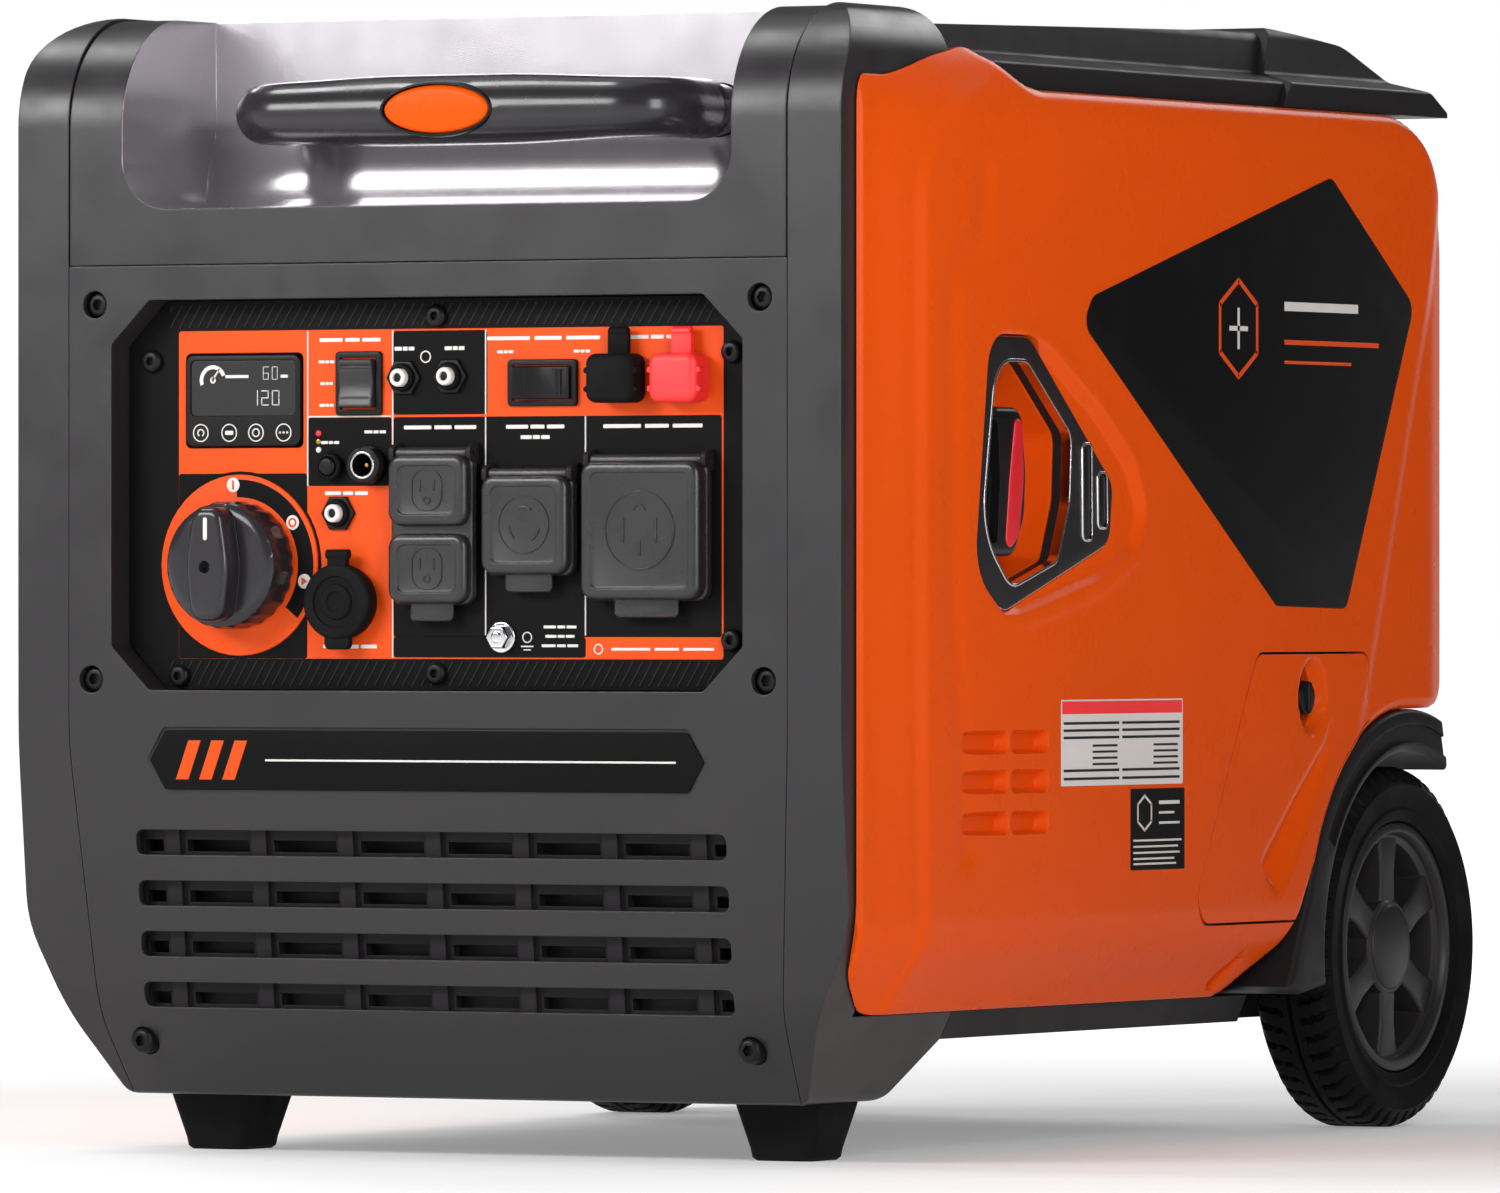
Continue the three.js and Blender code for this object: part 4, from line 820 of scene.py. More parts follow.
for k, (z, material) in enumerate(((349.5, RED), (345.5, BRASS), (341.5, LABEL_WHITE))):
    lamp = rod("y", -67.5, z, 1.5, FACE - 0.9, FACE - 0.1, round_low=0.7)
    piece(f"status_lamp_{k + 1}", lamp, material, slot="black_plastic")

# ---------------------------------------------------------------- display
def digit(char, u, v, w, h):
    """A plain figure of straight segments."""
    t = w * 0.17
    spots = {"a": (u, u + w, v + h - t, v + h), "g": (u, u + w, v + h / 2 - t / 2, v + h / 2 + t / 2),
             "d": (u, u + w, v, v + t), "f": (u, u + t, v + h / 2, v + h), "e": (u, u + t, v, v + h / 2),
             "b": (u + w - t, u + w, v + h / 2, v + h), "c": (u + w - t, u + w, v, v + h / 2)}
    segments = {"0": "abcdef", "1": "bc", "2": "abged", "6": "afedcg"}[char]
    return [within(spots[s], 0.12, *SCREEN_PRINT, 0.1) for s in segments]


u0, u1, v0, v1 = DISPLAY
body = cut(slab(*DISPLAY, FACE - 2, FACE + 20, 4, round_low=0.8),
           slab(u0 + 2.5, u1 - 2.5, v0 + 14.5, v1 - 2.5, FACE - 5, FACE - 1, 3))
piece("display_body", body, BLACK, "casing", "display_module")
screen = slab(u0 + 2.7, u1 - 2.7, v0 + 14.7, v1 - 2.7, FACE - 1.35, FACE - 1.02, 2.8)
piece("display_screen", screen, SCREEN)
shown = []
for text, u, v, w, h in (("60", -98, 375.5, 3.4, 6.6), ("120", -105, 363, 4.4, 7.6)):
    for k, char in enumerate(text):
        shown += digit(char, u + k * (w + 1.6), v, w, h)
shown += [ring(-126, 375.5, 7.4, 5.4, *SCREEN_PRINT, 20, 200), ring(-126, 375.5, 1.6, 0.6, *SCREEN_PRINT),
          prism("y", [(-126.6, 376), (-125.4, 376), (-122, 381), (-122.6, 381.3)], *SCREEN_PRINT),
          slab(-119, -106, 376.5, 378, *SCREEN_PRINT, 0.3), slab(-88, -84, 376.5, 378, *SCREEN_PRINT, 0.3)]
piece("display_digits", merged(*shown), LABEL_WHITE)
keys = [ring(u, 350, 4.4, 3.8, *KEY_PRINT) for u in (-132.5, -116.5, -101.5, -86)]
keys += [ring(-132.5, 350, 2, 1.3, *KEY_PRINT, -60, 240), slab(-118.8, -114.2, 349, 351, *KEY_PRINT, 0.5),
         ring(-101.5, 350, 2.2, 1.5, *KEY_PRINT)]
keys += [rod("y", u, 350, 0.6, *KEY_PRINT) for u in (-88, -86, -84)]
piece("display_keys", merged(*keys), LABEL_WHITE)

# ---------------------------------------------------------------- knob
KNOB_FACE = FACE - 34


def fuel_knob():
    x, z = KNOB
    face, base = KNOB_FACE, FACE - 2.5
    outline = ellipse(x, z, 31, count=96)
    ribs = [1 - 0.022 * (k % 4 < 2) for k in range(len(outline))]
    ribbed = [(x + (u - x) * rib, z + (v - z) * rib) for rib, (u, v) in zip(ribs, outline)]
    skirt = loft("y", [(inset(shape, amount), along) for shape, amount, along in (
        (outline, 6.5, face + 12.5), (outline, 3.5, face + 13), (outline, 1.2, face + 14.6),
        (ribbed, 0.3, face + 17), (ribbed, 0, face + 19), (ribbed, 0, base))])
    bar = filleted([(x - 9, z - 27, 8), (x + 9, z - 27, 8), (x + 12.5, z, 60), (x + 8, z + 28, 7),
                    (x - 8, z + 28, 7), (x - 12.5, z, 60)])
    grip = prism("y", bar, face + 0.15, face + 18, round_low=4)
    scallops = [loft("y", [(ellipse(x + side * 31, z, 19, 21), face - 1),
                           (ellipse(x + side * 31, z, 17.5, 19), face + 12.4)]) for side in (-1, 1)]
    pointer = rod("y", x - 0.5, z - 1, 3.1, face - 1, face + 5)
    return cut(join(skirt, cut(grip, *scallops), rod("y", x, z, 5.8, base - 2, FACE + 14)), pointer)


piece("fuel_knob_body", fuel_knob(), GRIP, "fuel_knob", "fuel_knob", bevel=0.5)
piece("fuel_knob_pointer",
      slab(KNOB[0] - 1.1, KNOB[0] + 1.1, KNOB[1] + 12, KNOB[1] + 23, KNOB_FACE, KNOB_FACE + 0.5),
      LABEL_WHITE, "fuel_knob", slot="grip_plastic")

# ---------------------------------------------------------------- switches, buttons and sockets
def switch_case(x, z, w, h):
    area = around(x, z, w, h)
    case = join(within(area, 0, FACE - 2.3, FACE - 0.3, 2, round_low=0.8),
                within(area, 1.5, FACE - 1, FACE + 22, 0.5))
    return cut(case, within(area, 2.75, FACE - 9, FACE + 12, 0.8))


def rocker(w, h):
    """A rocker about its pivot, long way up."""
    long, wide = h / 2 - 3.75, w / 2 - 3.4
    side = filleted([(-6.5, -long, 1.2), (-4, 0, 24), (-6.5, long, 1.2), (1, long, 2), (5, long * 0.5, 3),
                     (5, -long * 0.5, 3), (1, -long, 2)])
    body = prism("x", side, -wide, wide, round_low=0.8, round_high=0.8)
    grooves = [box((-wide + 1.6, wide - 1.6), (-9, -5.2), (v, v + 0.7))
               for v in (long * 0.55, long * 0.7, -long * 0.62)]
    return cut(body, *grooves)


piece("engine_switch_case", switch_case(*ENGINE_SWITCH, 25.5, 31), BLACK, "casing", "engine_switch")
piece("voltage_switch_case", switch_case(*VOLTAGE_SWITCH, 38, 22.5), BLACK, "casing", "voltage_switch")
for name, (x, z), (w, h), turn in (("engine_rocker", ENGINE_SWITCH, (25.5, 31), None),
                                   ("voltage_rocker", VOLTAGE_SWITCH, (22.5, 38), 8)):
    key = rocker(w, h)
    spin = Matrix.Identity(4)
    if turn:
        spin = Matrix.Rotation(math.radians(turn), 4, "Z") @ Matrix.Rotation(math.radians(90), 4, "Y")
    key.data.transform(Matrix.Translation(Vector((x, FACE, z)) * MM) @ spin)
    piece(f"{name}_key", key, CASING if name == "engine_rocker" else BLACK, name, name, "trim_plastic")

for k, (x, z) in enumerate(BREAKERS):
    body = cut(rod("y", x, z, 4.4, FACE - 8, FACE + 8, round_low=1.2),
               rod("y", x, z, 2.3, FACE - 9, FACE - 6.2, round_high=0.5))
    piece(f"breaker_cap_{k + 1}", body, LABEL_WHITE, f"breaker_button_{k + 1}", f"breaker_button_{k + 1}")
    piece(f"breaker_core_{k + 1}", rod("y", x, z, 2.2, FACE - 6.9, FACE - 6.25, round_low=0.4), BLACK,
          f"breaker_button_{k + 1}")
    nut = cut(rod("y", x, z, 9.2, FACE - 2.4, FACE - 0.3, round_low=0.7, count=6),
              rod("y", x, z, 6.7, FACE - 9, FACE + 9))
    piece(f"breaker_nut_{k + 1}", nut, BLACK)
piece("co_button_cap", rod("y", *CO_BUTTON, 4.4, FACE - 6.5, FACE + 8, round_low=1.4), BLACK, "co_button",
      "co_button")


def battery_inlet():
    x, z = INLET
    shell = join(rod("y", x, z, 9.3, FACE - 8, FACE - 0.3, round_low=1.2),
                 rod("y", x, z, 7, FACE - 1, FACE + 14))
    flats = [box((x - 12, x + 12), (FACE - 9, FACE - 3), (z + s, z + s + 3)) for s in (8, -11)]
    return cut(shell, rod("y", x, z, 5.5, FACE - 9, FACE + 11), *flats)


piece("inlet_shell", battery_inlet(), BLACK, "casing", "battery_inlet")
piece("inlet_ring",
      cut(rod("y", *INLET, 6.6, FACE - 8.25, FACE - 7.9, round_low=0.2),
          rod("y", *INLET, 5.6, FACE - 10, FACE)), CHROME)
piece("inlet_pin", rod("y", *INLET, 1.2, FACE - 4, FACE + 11.4, round_low=0.5), BRASS, slot="steel")


def dc_cap():
    x, z = DC
    back = FACE - 4.5
    lid = prism("y", ellipse(x, z, 18.5), back - 6, back, round_low=2.2, round_high=0.4)
    dish = rod("y", x, z, 12.5, back - 8, back - 4.8, round_high=0.8)
    boss = rod("y", x, z, 8.5, back - 6.2, back - 4, round_low=0.8)
    dimple = rod("y", x, z, 5, back - 7, back - 5.4, round_high=0.4)
    return join(cut(join(cut(lid, dish), boss), dimple), rod("y", x, z, 7.5, back - 1, back + 6),
                slab(x - 5, x + 5, z + 10, z + 23, back - 5, back - 1),
                rod("x", back - 3, z + 23, 2.4, x - 6, x + 6),
                slab(x - 7, x + 7, z - 23, z - 10, back - 5, back - 1.5, 3, round_low=1))


def dc_socket():
    x, z = DC
    shell = join(rod("y", x, z, 17.5, FACE - 4, FACE - 0.3, round_low=0.8),
                 rod("y", x, z, 14, FACE - 1, FACE + 34))
    return cut(shell, rod("y", x, z, 10.5, FACE - 9, FACE + 31))


piece("dc_socket_shell", dc_socket(), BLACK, "casing", "dc_socket")
piece("dc_socket_sleeve",
      cut(rod("y", *DC, 10.4, FACE - 1, FACE + 30), rod("y", *DC, 9.6, FACE - 3, FACE + 32)), CHROME)
piece("dc_cap_lid", dc_cap(), RUBBER, "dc_cap", "dc_cap", bevel=0.4)


LID_BACK = FACE - 2.8       # the rear face of flaps and rubber caps


def outlet_body(area, slots):
    a, b, c, d = area
    body = join(within(area, 2, FACE - 2.3, FACE - 0.3, 5, round_low=0.8),
                within(area, 7, FACE - 1, FACE + 24, 3))
    return cut(body, *[slab(*around((a + b) / 2 + u, (c + d) / 2 + v, 2.4, 7.5), FACE - 9, FACE + 14, 0.3)
                       for u, v in slots])


def relief(kind, x, z, layer):
    """A plain raised picture of a socket on its flap, as a layer (near, far)."""
    near, far = layer
    if kind == "pair":
        border = cut(slab(*around(x, z, 17, 20), *layer, 7),
                     slab(*around(x, z, 15.8, 18.8), near - 1, far + 1, 6.5))
        return [border, slab(x - 4.2, x - 3.4, z - 0.5, z + 5, *layer, 0.2),
                slab(x + 3.4, x + 4.2, z - 0.5, z + 5, *layer, 0.2), ring(x, z - 5, 2, 1.3, *layer)]
    if kind == "twist":
        return [ring(x, z, 14, 13.3, *layer)] + [ring(x, z, 9, 7.6, *layer, a, a + 50)
                                                 for a in (60, 180, 300)]
    return [ring(x, z, 19, 18.2, *layer), slab(x - 9.5, x - 8.3, z - 6, z + 6, *layer, 0.2),
            slab(x + 8.3, x + 9.5, z - 6, z + 6, *layer, 0.2), ring(x, z + 9.5, 3.2, 2.4, *layer, 0, 180),
            slab(x - 0.6, x + 0.6, z - 12, z - 5, *layer, 0.2)]


def outlet_cover(area, depth, windows, kind):
    """A flap with a domed lid over each window, and the relief on every lid."""
    a, b, c, d = area
    back, x = LID_BACK, (a + b) / 2
    face = back - depth
    lids = [slab(a + 0.8, b - 0.8, v0 + 0.6, v1 - 0.6, face, back - 3, 7, round_low=3.2, steps=6)
            for v0, v1 in windows]
    dips = [slab(a + 6.5, b - 6.5, v0 + 6, v1 - 6, face - 1, face + 0.9, 4, round_high=0.6)
            for v0, v1 in windows]
    body = cut(join(within(area, 0, back - 4.5, back, 6, round_low=1.5), *lids), *dips,
               within(area, 4, back - 4, back + 5, 4))
    tab = (b - a) * 0.26
    tongue = loft("y", [(filleted(rectangle(x - tab + trim, x + tab - trim, c - low, c + 5, 3)), back - along)
                        for trim, low, along in ((2, 7.5, 5.4), (0, 8, 4.2), (0, 8, 2.5))])
    marks = [m for v0, v1 in windows for m in relief(kind, x, (v0 + v1) / 2, (face + 0.45, face + 1.0))]
    return join(body, tongue, rod("x", back - 2.8, d, 2.8, a + 3, b - 3, 0.6, 0.6)), marks


for name, area, depth, windows, slots, kind in (
        ("gfci", GFCI, 10, ((266.5, 301.5), (304, 339.6)), ((-4, 20), (5, 20), (-4, -16), (5, -16)), "pair"),
        ("twist_lock", TWIST, 10, ((280.5, 329.5),), ((-8, 4), (8, 4)), "twist"),
        ("rv", RV, 12, ((268.4, 335.8),), ((-12, 0), (12, 0), (0, -12)), "quad")):
    piece(f"{name}_body", outlet_body(area, slots), BLACK, "casing", f"{name}_outlet")
    flap, marks = outlet_cover(area, depth, windows, kind)
    piece(f"{name}_flap", flap, FLAP, f"{name}_cover", f"{name}_cover", bevel=1.0)
    piece(f"{name}_relief", merged(*marks), FLAP, f"{name}_cover")
    a, b, c, d = area
    ear = [(FACE - 9.4, d - 3.5, 3), (FACE - 0.3, d - 5), (FACE - 0.3, d + 5), (FACE - 9.4, d + 3.5, 3)]
    ears = [cut(prism("x", ear, u, u + 2.4), rod("x", FACE - 5.6, d, 1.4, u - 2, u + 5))
            for u in (a + 0.2, b - 2.6)]
    piece(f"{name}_hinge", merged(*ears), TRIM)


def parallel_cap(x, z):
    back = LID_BACK
    dome = slab(x - 13, x + 13, z - 11, z + 12.5, back - 14, back, 5, round_low=3.5, round_high=0.4, steps=5)
    dome = cut(dome, rod("y", x, z, 8, back - 8, back + 5))
    fins = [slab(x - 14.5, x + 14.5, z + v, z + v + 3, back - 12, back - 6.5, 1.4, round_low=0.6,
                 round_high=0.6)
            for v in (-6, 3)]
    neck = slab(x - 5.5, x + 5.5, z + 10, z + 23, back - 4.4, back - 1, 2, round_low=1)
    return join(dome, *fins, neck, rod("x", back - 2.4, z + 23, 2.4, x - 5, x + 5, 0.5, 0.5))


piece("parallel_cap_dark", parallel_cap(*TERMINALS[0]), RUBBER, "parallel_cap_black", "parallel_cap_black",
      bevel=0.5)
piece("parallel_cap_bright", parallel_cap(*TERMINALS[1]), RED, "parallel_cap_red", "parallel_cap_red",
      bevel=0.5)

# ---------------------------------------------------------------- screws
def ground_bolt():
    x, z = GROUND
    washer = rod("y", x, z, 7.5, FACE - 1.8, FACE - 0.3, round_low=0.5)
    head = prism("y", ellipse(x, z, 6, count=6), FACE - 6.4, FACE - 1.5, round_low=0.8)
    stud = rod("y", x, z, 2.8, FACE - 7, FACE - 5, round_low=0.8)
    return join(washer, head, stud)


piece("ground_bolt_head", ground_bolt(), CHROME, "casing", "ground_bolt", "steel", bevel=0.25)


def cap_screw(x, z, radius, near, far, socket):
    """A round-headed screw with a six-sided socket, facing the front."""
    return cut(rod("y", x, z, radius, near, far, round_low=radius * 0.42),
               rod("y", x, z, socket, near - 1, near + radius * 0.5, count=6))


screws = [cap_screw(x, z, 5.5, FACE - 3.6, FACE - 0.02, 2.3) for x, z in
          ((-160.5, 385), (-145, 232), (-1.6, 405.5), (-1.6, 233.5), (160, 387), (160, 249.7))]
piece("panel_screws", merged(*screws), BLACK)
sunk = [(sx, z, max(at(0), lean_at(z)) if z < LEAN_END_Z else at(0)) for x, z in CASE_SCREWS
        for sx in (x, -x)]
sunk = [cap_screw(x, z, 6.2, y + 2.5, y + 14, 2.9) for x, z, y in sunk]
piece("case_screws", merged(*sunk), BLACK, slot="steel")

# ---------------------------------------------------------------- plain name plate
PLATE = [(153, 191.5, 2), (144.2, 206, 3), (-144.2, 206, 3), (-153, 191.5, 2), (-144.2, 177, 3),
         (144.2, 177, 3)]
piece("front_plate", prism("y", PLATE, at(0.7), at(1.55), round_low=0.3), LABEL)
stripes = [prism("y", [(u, 182), (u + 7, 182), (u + 14, 201), (u + 7, 201)], at(0.45), at(0.72))
           for u in (-138, -125, -112)]
piece("front_plate_stripes", merged(*stripes), LABEL_ORANGE)
piece("front_plate_lines", merged(slab(-88, 138, 191, 192, at(0.45), at(0.72), 0.4)), LABEL_WHITE)

# ---------------------------------------------------------------- recoil starter
POCKET = HALF - 34
BEZEL_FACE = HALF - 2.4


def curved_ring(outer, inner, near, far, crown):
    """A frame between two outlines with a crowned face towards +X."""
    whole = prism("x", outer, near, far, round_high=crown)
    return cut(whole, prism("x", inner, near - 1, far + 1))


RECOIL_OUTER = filleted(RECOIL)
WINDOW = filleted([(at(157), 275, 16), (at(206), 288, 8), (at(219), 317, 14), (at(221), 349, 10),
                   (at(174), 384, 12), (at(142), 384, 18), (at(127), 302, 40)])
bezel = curved_ring(inset(RECOIL_OUTER, SEAM), WINDOW, HALF - 12, BEZEL_FACE, 2.2)
tail_slots = [filleted([(at(y0 + 0.6), z0, 4), (at(y1 + 0.6), z0, 4), (at(y1), z1, 4), (at(y0), z1, 4)])
              for y0, y1, z0, z1 in ((231, 243, 297, 346), (247.5, 259.5, 303, 332))]
bezel = cut(bezel, *[prism("x", s, BEZEL_FACE - 2.6, HALF + 3) for s in tail_slots])
piece("recoil_frame", bezel, TRIM, "casing", "recoil_bezel", "chrome", bevel=0.4)
outer_line = curved_ring(inset(RECOIL_OUTER, 0.7), inset(RECOIL_OUTER, 2.3), BEZEL_FACE - 3.5,
                         BEZEL_FACE - 0.6, 0.5)
inner_line = curved_ring(inset(WINDOW, -1.5), inset(WINDOW, 0.1), BEZEL_FACE - 5, BEZEL_FACE + 0.25, 0.5)
piece("recoil_bright_edge", merged(outer_line, inner_line), CHROME)
for k, outline in enumerate(tail_slots):
    rim = curved_ring(inset(outline, 0.2), inset(outline, 1.5), BEZEL_FACE - 2.5, BEZEL_FACE + 0.9, 0.6)
    piece(f"recoil_slot_rim_{k + 1}", rim, CHROME)
    pad = prism("x", inset(outline, 1.7), BEZEL_FACE - 2.5, BEZEL_FACE + 0.2, round_high=1.4)
    piece(f"recoil_slot_pad_{k + 1}", pad, BLACK)


def recoil_pocket():
    rear = HALF - 12.5
    tub = prism("x", inset(RECOIL_OUTER, SEAM), POCKET - 4, rear)
    cavity = loft("x", [(inset(WINDOW, 5), POCKET), (inset(WINDOW, 3.5), POCKET + 2),
                        (inset(WINDOW, 0.5), rear + 2)])
    return cut(tub, cavity, rod("x", at(154), 326, 6, POCKET - 20, HALF))


piece("recoil_tub", recoil_pocket(), ORANGE, "casing", "recoil_pocket")


def recoil_grip():
    outline = filleted([(at(133), 290, 8), (at(162), 290, 8), (at(173), 308, 20), (at(175), 330, 40),
                        (at(170), 362, 9), (at(137), 362, 9)])
    bar = prism("x", outline, HALF - 22, HALF - 2.4, round_low=3, round_high=3.5)
    hollow = filleted([(at(134), 296, 3), (at(143), 296, 5), (at(146), 326, 30), (at(144), 356, 5),
                       (at(134), 356, 3)])
    return cut(join(bar, rod("x", at(154), 326, 9, POCKET + 1, HALF - 20)),
               prism("x", hollow, HALF - 8, HALF + 2))


piece("recoil_grip", recoil_grip(), BLACK, "recoil_handle", "recoil_handle", "recoil_red")
strip = filleted([(at(151), 297, 4), (at(156), 293, 4), (at(165), 300, 8), (at(170.5), 327, 60),
                  (at(168), 356, 6), (at(161), 357, 4), (at(155), 326, 60)])
piece("recoil_grip_strip", prism("x", strip, HALF - 4, HALF - 1.6, round_high=1.4), RECOIL_RED,
      "recoil_handle")

# ---------------------------------------------------------------- door latch and side labels
disc = rod("x", *LATCH, 8.5, HALF - 6.5, HALF - 3.2, round_high=1)
disc = join(disc, rod("x", *LATCH, 6, HALF - 22, HALF - 5))
tab = prism("x", rectangle(*around(*LATCH, 3.8, 16), 1.8), HALF - 7, HALF - 1.4, round_high=1)
piece("latch_body", join(disc, tab), BLACK, "door_latch", "door_latch", bevel=0.3)
liner = prism("x", ellipse(*LATCH, 8.8 + PLAY, 14.8 + PLAY), HALF - 13.5, HALF - 12.9)
piece("latch_recess", cut(liner, rod("x", *LATCH, 6.6, HALF - 20, HALF)), DARK, "service_door",
      slot="black_plastic")

FIELD = [(at(230), 403, 14), (at(443), 266, 8), (at(523), 264.5, 8), (at(602), 419, 9), (at(506), 482, 10),
         (at(240), 417, 12)]
decal = prism("x", FIELD, SKIN + 0.02, SKIN + 0.24, round_high=0.1)
piece("side_field", decal, LABEL)
SIDE_LABEL = (SKIN + 0.02, SKIN + 0.2)
SIDE_LINE = (SKIN + 0.2, SKIN + 0.34)


def six_sided(depth, z, radius):
    return [(depth + radius * math.sin(math.radians(60 * k)), z + radius * math.cos(math.radians(60 * k)))
            for k in range(7)]


def side_line(points, width):
    """A thin line of plain colour on the dark field, through (depth, Z)."""
    made = []
    for (d0, z0), (d1, z1) in zip(points, points[1:]):
        run = Vector((d1 - d0, z1 - z0)).normalized() * 0.3
        off = Vector((-run.y, run.x)).normalized() * width / 2
        first, last = (at(d0 - run.x), z0 - run.y), (at(d1 + run.x), z1 + run.y)
        made.append(prism("x", [(u + way * off.x, v + way * off.y) for way, ends in (
            (-1, (first, last)), (1, (last, first))) for u, v in ends], *SIDE_LINE))
    return made


accent = [*side_line([(452, 398), (560, 398)], 2.4), *side_line([(452, 388), (528, 388)], 1.6),
          *side_line(six_sided(400, 404, 24), 2.6)]
piece("side_field_lines", merged(*accent), LABEL_ORANGE, slot="orange_plastic")
pale = [*side_line([(452, 416), (536, 416)], 4.6), *side_line([(390, 404), (410, 404)], 2.4),
        *side_line([(400, 394), (400, 414)], 2.4)]
piece("side_field_marks", merged(*pale), LABEL_WHITE)

notice = prism("x", rectangle(at(206), at(338), 178.5, 220.5, 1), *SIDE_LABEL)
piece("notice_plate", notice, LABEL_WHITE)
piece("notice_band", prism("x", rectangle(at(207), at(337), 213.5, 219.7, 0.6), SKIN + 0.18, SKIN + 0.28),
      RED)
rows = [side_line([(d0, z), (d1, z)], 1.3) for z in (209, 205.5, 202, 186, 182)
        for d0, d1 in ((209, 268), (272, 334))]
rows += [side_line([(d0, z), (d0 + 26, z)], 1.1) for z in (198, 195, 192, 189) for d0 in (240, 306)]
piece("notice_lines", merged(*[p for row in rows for p in row]), TRIM, slot="black_plastic")
oil = prism("x", rectangle(at(281), at(340), 136.5, 176.5, 1), *SIDE_LABEL)
piece("oil_plate", oil, LABEL)
rows = [side_line([(284, z), (284 + run, z)], 1.0)
        for z, run in ((151, 52), (148, 48), (145, 50), (142, 44), (139.5, 46))]
rows += [side_line(six_sided(296, 164.5, 8.5), 1.3)]
rows += [side_line([(312, z), (312 + run, z)], width)
         for z, run, width in ((169.5, 22, 1.8), (164.5, 16, 1.2), (159.5, 22, 1.2))]
piece("oil_plate_lines", merged(*[p for row in rows for p in row]), LABEL_WHITE)

# ---------------------------------------------------------------- pull handle
def swept(path, across, count=40):
    """A tube along a path of points, whose sections are ellipses (radius sideways, radius upwards)."""
    points = [Vector(p) for p in path]
    vertices = []
    for i, p in enumerate(points):
        ahead = (points[min(i + 1, len(points) - 1)] - points[max(i - 1, 0)]).normalized()
        side = Vector((-ahead.y, ahead.x, 0))
        wide, tall = across(i / (len(points) - 1))
        for k in range(count):
            a = 2 * math.pi * k / count
            vertices.append(tuple(p + side * (wide * math.cos(a)) + Vector((0, 0, tall * math.sin(a)))))
    return tube_object(vertices, len(points), count)


def handle_path():
    y, corner, path = at(GRIP_SETBACK), 22, []
    for s in (-1, 1):
        arc = [(s * (TUBE_X - corner + corner * math.sin(a)), y + corner - corner * math.cos(a), GRIP_HEIGHT)
               for a in (math.radians(degrees) for degrees in range(90, -1, -6))]
        arc = [(s * TUBE_X, at(GRIP_SETBACK + 40), GRIP_HEIGHT)] + arc
        path.append(arc if s < 0 else arc[::-1])
    middle = [(x, y, GRIP_HEIGHT) for x in np.linspace(-TUBE_X + corner + 4, TUBE_X - corner - 4, 41)]
    return path[0] + middle + path[1]


def handle_section(t):
    swell = smooth(np.array([min(t, 1 - t)]), 0.16, 0.42)[0]
    return 14.2 + 3.4 * swell, 14.6 + 2.6 * swell


grip = swept(handle_path(), handle_section)
tubes = [rod("y", x, GRIP_HEIGHT, TUBE_RADIUS, at(GRIP_SETBACK + 34), at(GRIP_SETBACK + TUBE_REACH),
             round_high=1.5)
         for x in (-TUBE_X, TUBE_X)]
seat = prism("y", ellipse(0, GRIP_HEIGHT, 31, 13.5), at(GRIP_SETBACK) - 30, at(GRIP_SETBACK) - 7)
piece("handle_grip", cut(join(grip, *tubes), seat), GRIP, "handle", "handle")
collars = [cut(rod("y", x, GRIP_HEIGHT, 14.4, at(GRIP_SETBACK + 36), at(GRIP_SETBACK + 44), 1.2, 1.2),
               rod("y", x, GRIP_HEIGHT, TUBE_RADIUS + 0.05, at(0), at(160))) for x in (-TUBE_X, TUBE_X)]
piece("handle_collars", merged(*collars), BLACK, "handle")
y = at(GRIP_SETBACK)
dome = prism("y", ellipse(0, GRIP_HEIGHT, 29.3, 11.8), y - 18.4, y - 10.6, round_low=3.2, steps=6)
piece("handle_button_dome", dome, ORANGE, "handle_button", "handle_button")
rim_outer = prism("y", ellipse(0, GRIP_HEIGHT, 30.9, 13.4), y - 18.2, y - 12, round_low=1.2)
rim_inner = prism("y", ellipse(0, GRIP_HEIGHT, 29.6, 12.1), y - 30, y)
piece("handle_button_rim", cut(rim_outer, rim_inner), BLACK, "handle", slot="grip_plastic")

# ---------------------------------------------------------------- top cover and rear cap
CAP_SEAM = (500, 467)      # depth of the seam between cover and cap, at the top and lower down
CAP_Y = at(300)


def top_view(top, rails):
    return [(rails, PANEL_TOP + SEAM), (rails, 529, 2), (rails - 18, 534, 3), (rails - 24, top, 8),
            (-rails + 24, top, 8), (-rails + 18, 534, 3), (-rails, 529, 2), (-rails, PANEL_TOP + SEAM)]


def guide_notches():
    return [rod("y", x, GRIP_HEIGHT, TUBE_RADIUS + PLAY + 2.5, at(HOOP_DEPTH - 2),
                at(GRIP_SETBACK + TUBE_REACH + 30))
            for x in (-TUBE_X, TUBE_X)]


def top_cover():
    start, top_rear = at(HOOP_DEPTH + SEAM), BODY_HEIGHT - 2
    outer = prism("x", [(start, PANEL_TOP + SEAM), (start, HOOP_TOP - 8), (at(CAP_SEAM[0] - 3), top_rear),
                        (at(CAP_SEAM[1] - 1), PANEL_TOP + SEAM)], -230, 230)
    outer = common(outer, prism("y", top_view(top_rear, HOOP_HALF), start, at(CAP_SEAM[0])))
    inner = box((-190, 190), (start + 4, at(CAP_SEAM[1]) - 8), (PANEL_TOP - 2, HOOP_TOP - 12))
    well = common(rod("z", 0, CAP_Y, 56, 524, top_rear),
                  prism("z", rectangle(-90, 90, at(200), at(400)), 520, 551))
    body = join(cut(outer, inner), well)
    return cut(body, rod("z", 0, CAP_Y, 52, 528, 570, count=96), rod("z", 0, CAP_Y, 28, 480, 570),
               *guide_notches())


piece("top_shell", top_cover(), TRIM, "casing", "top_cover", bevel=1.6)


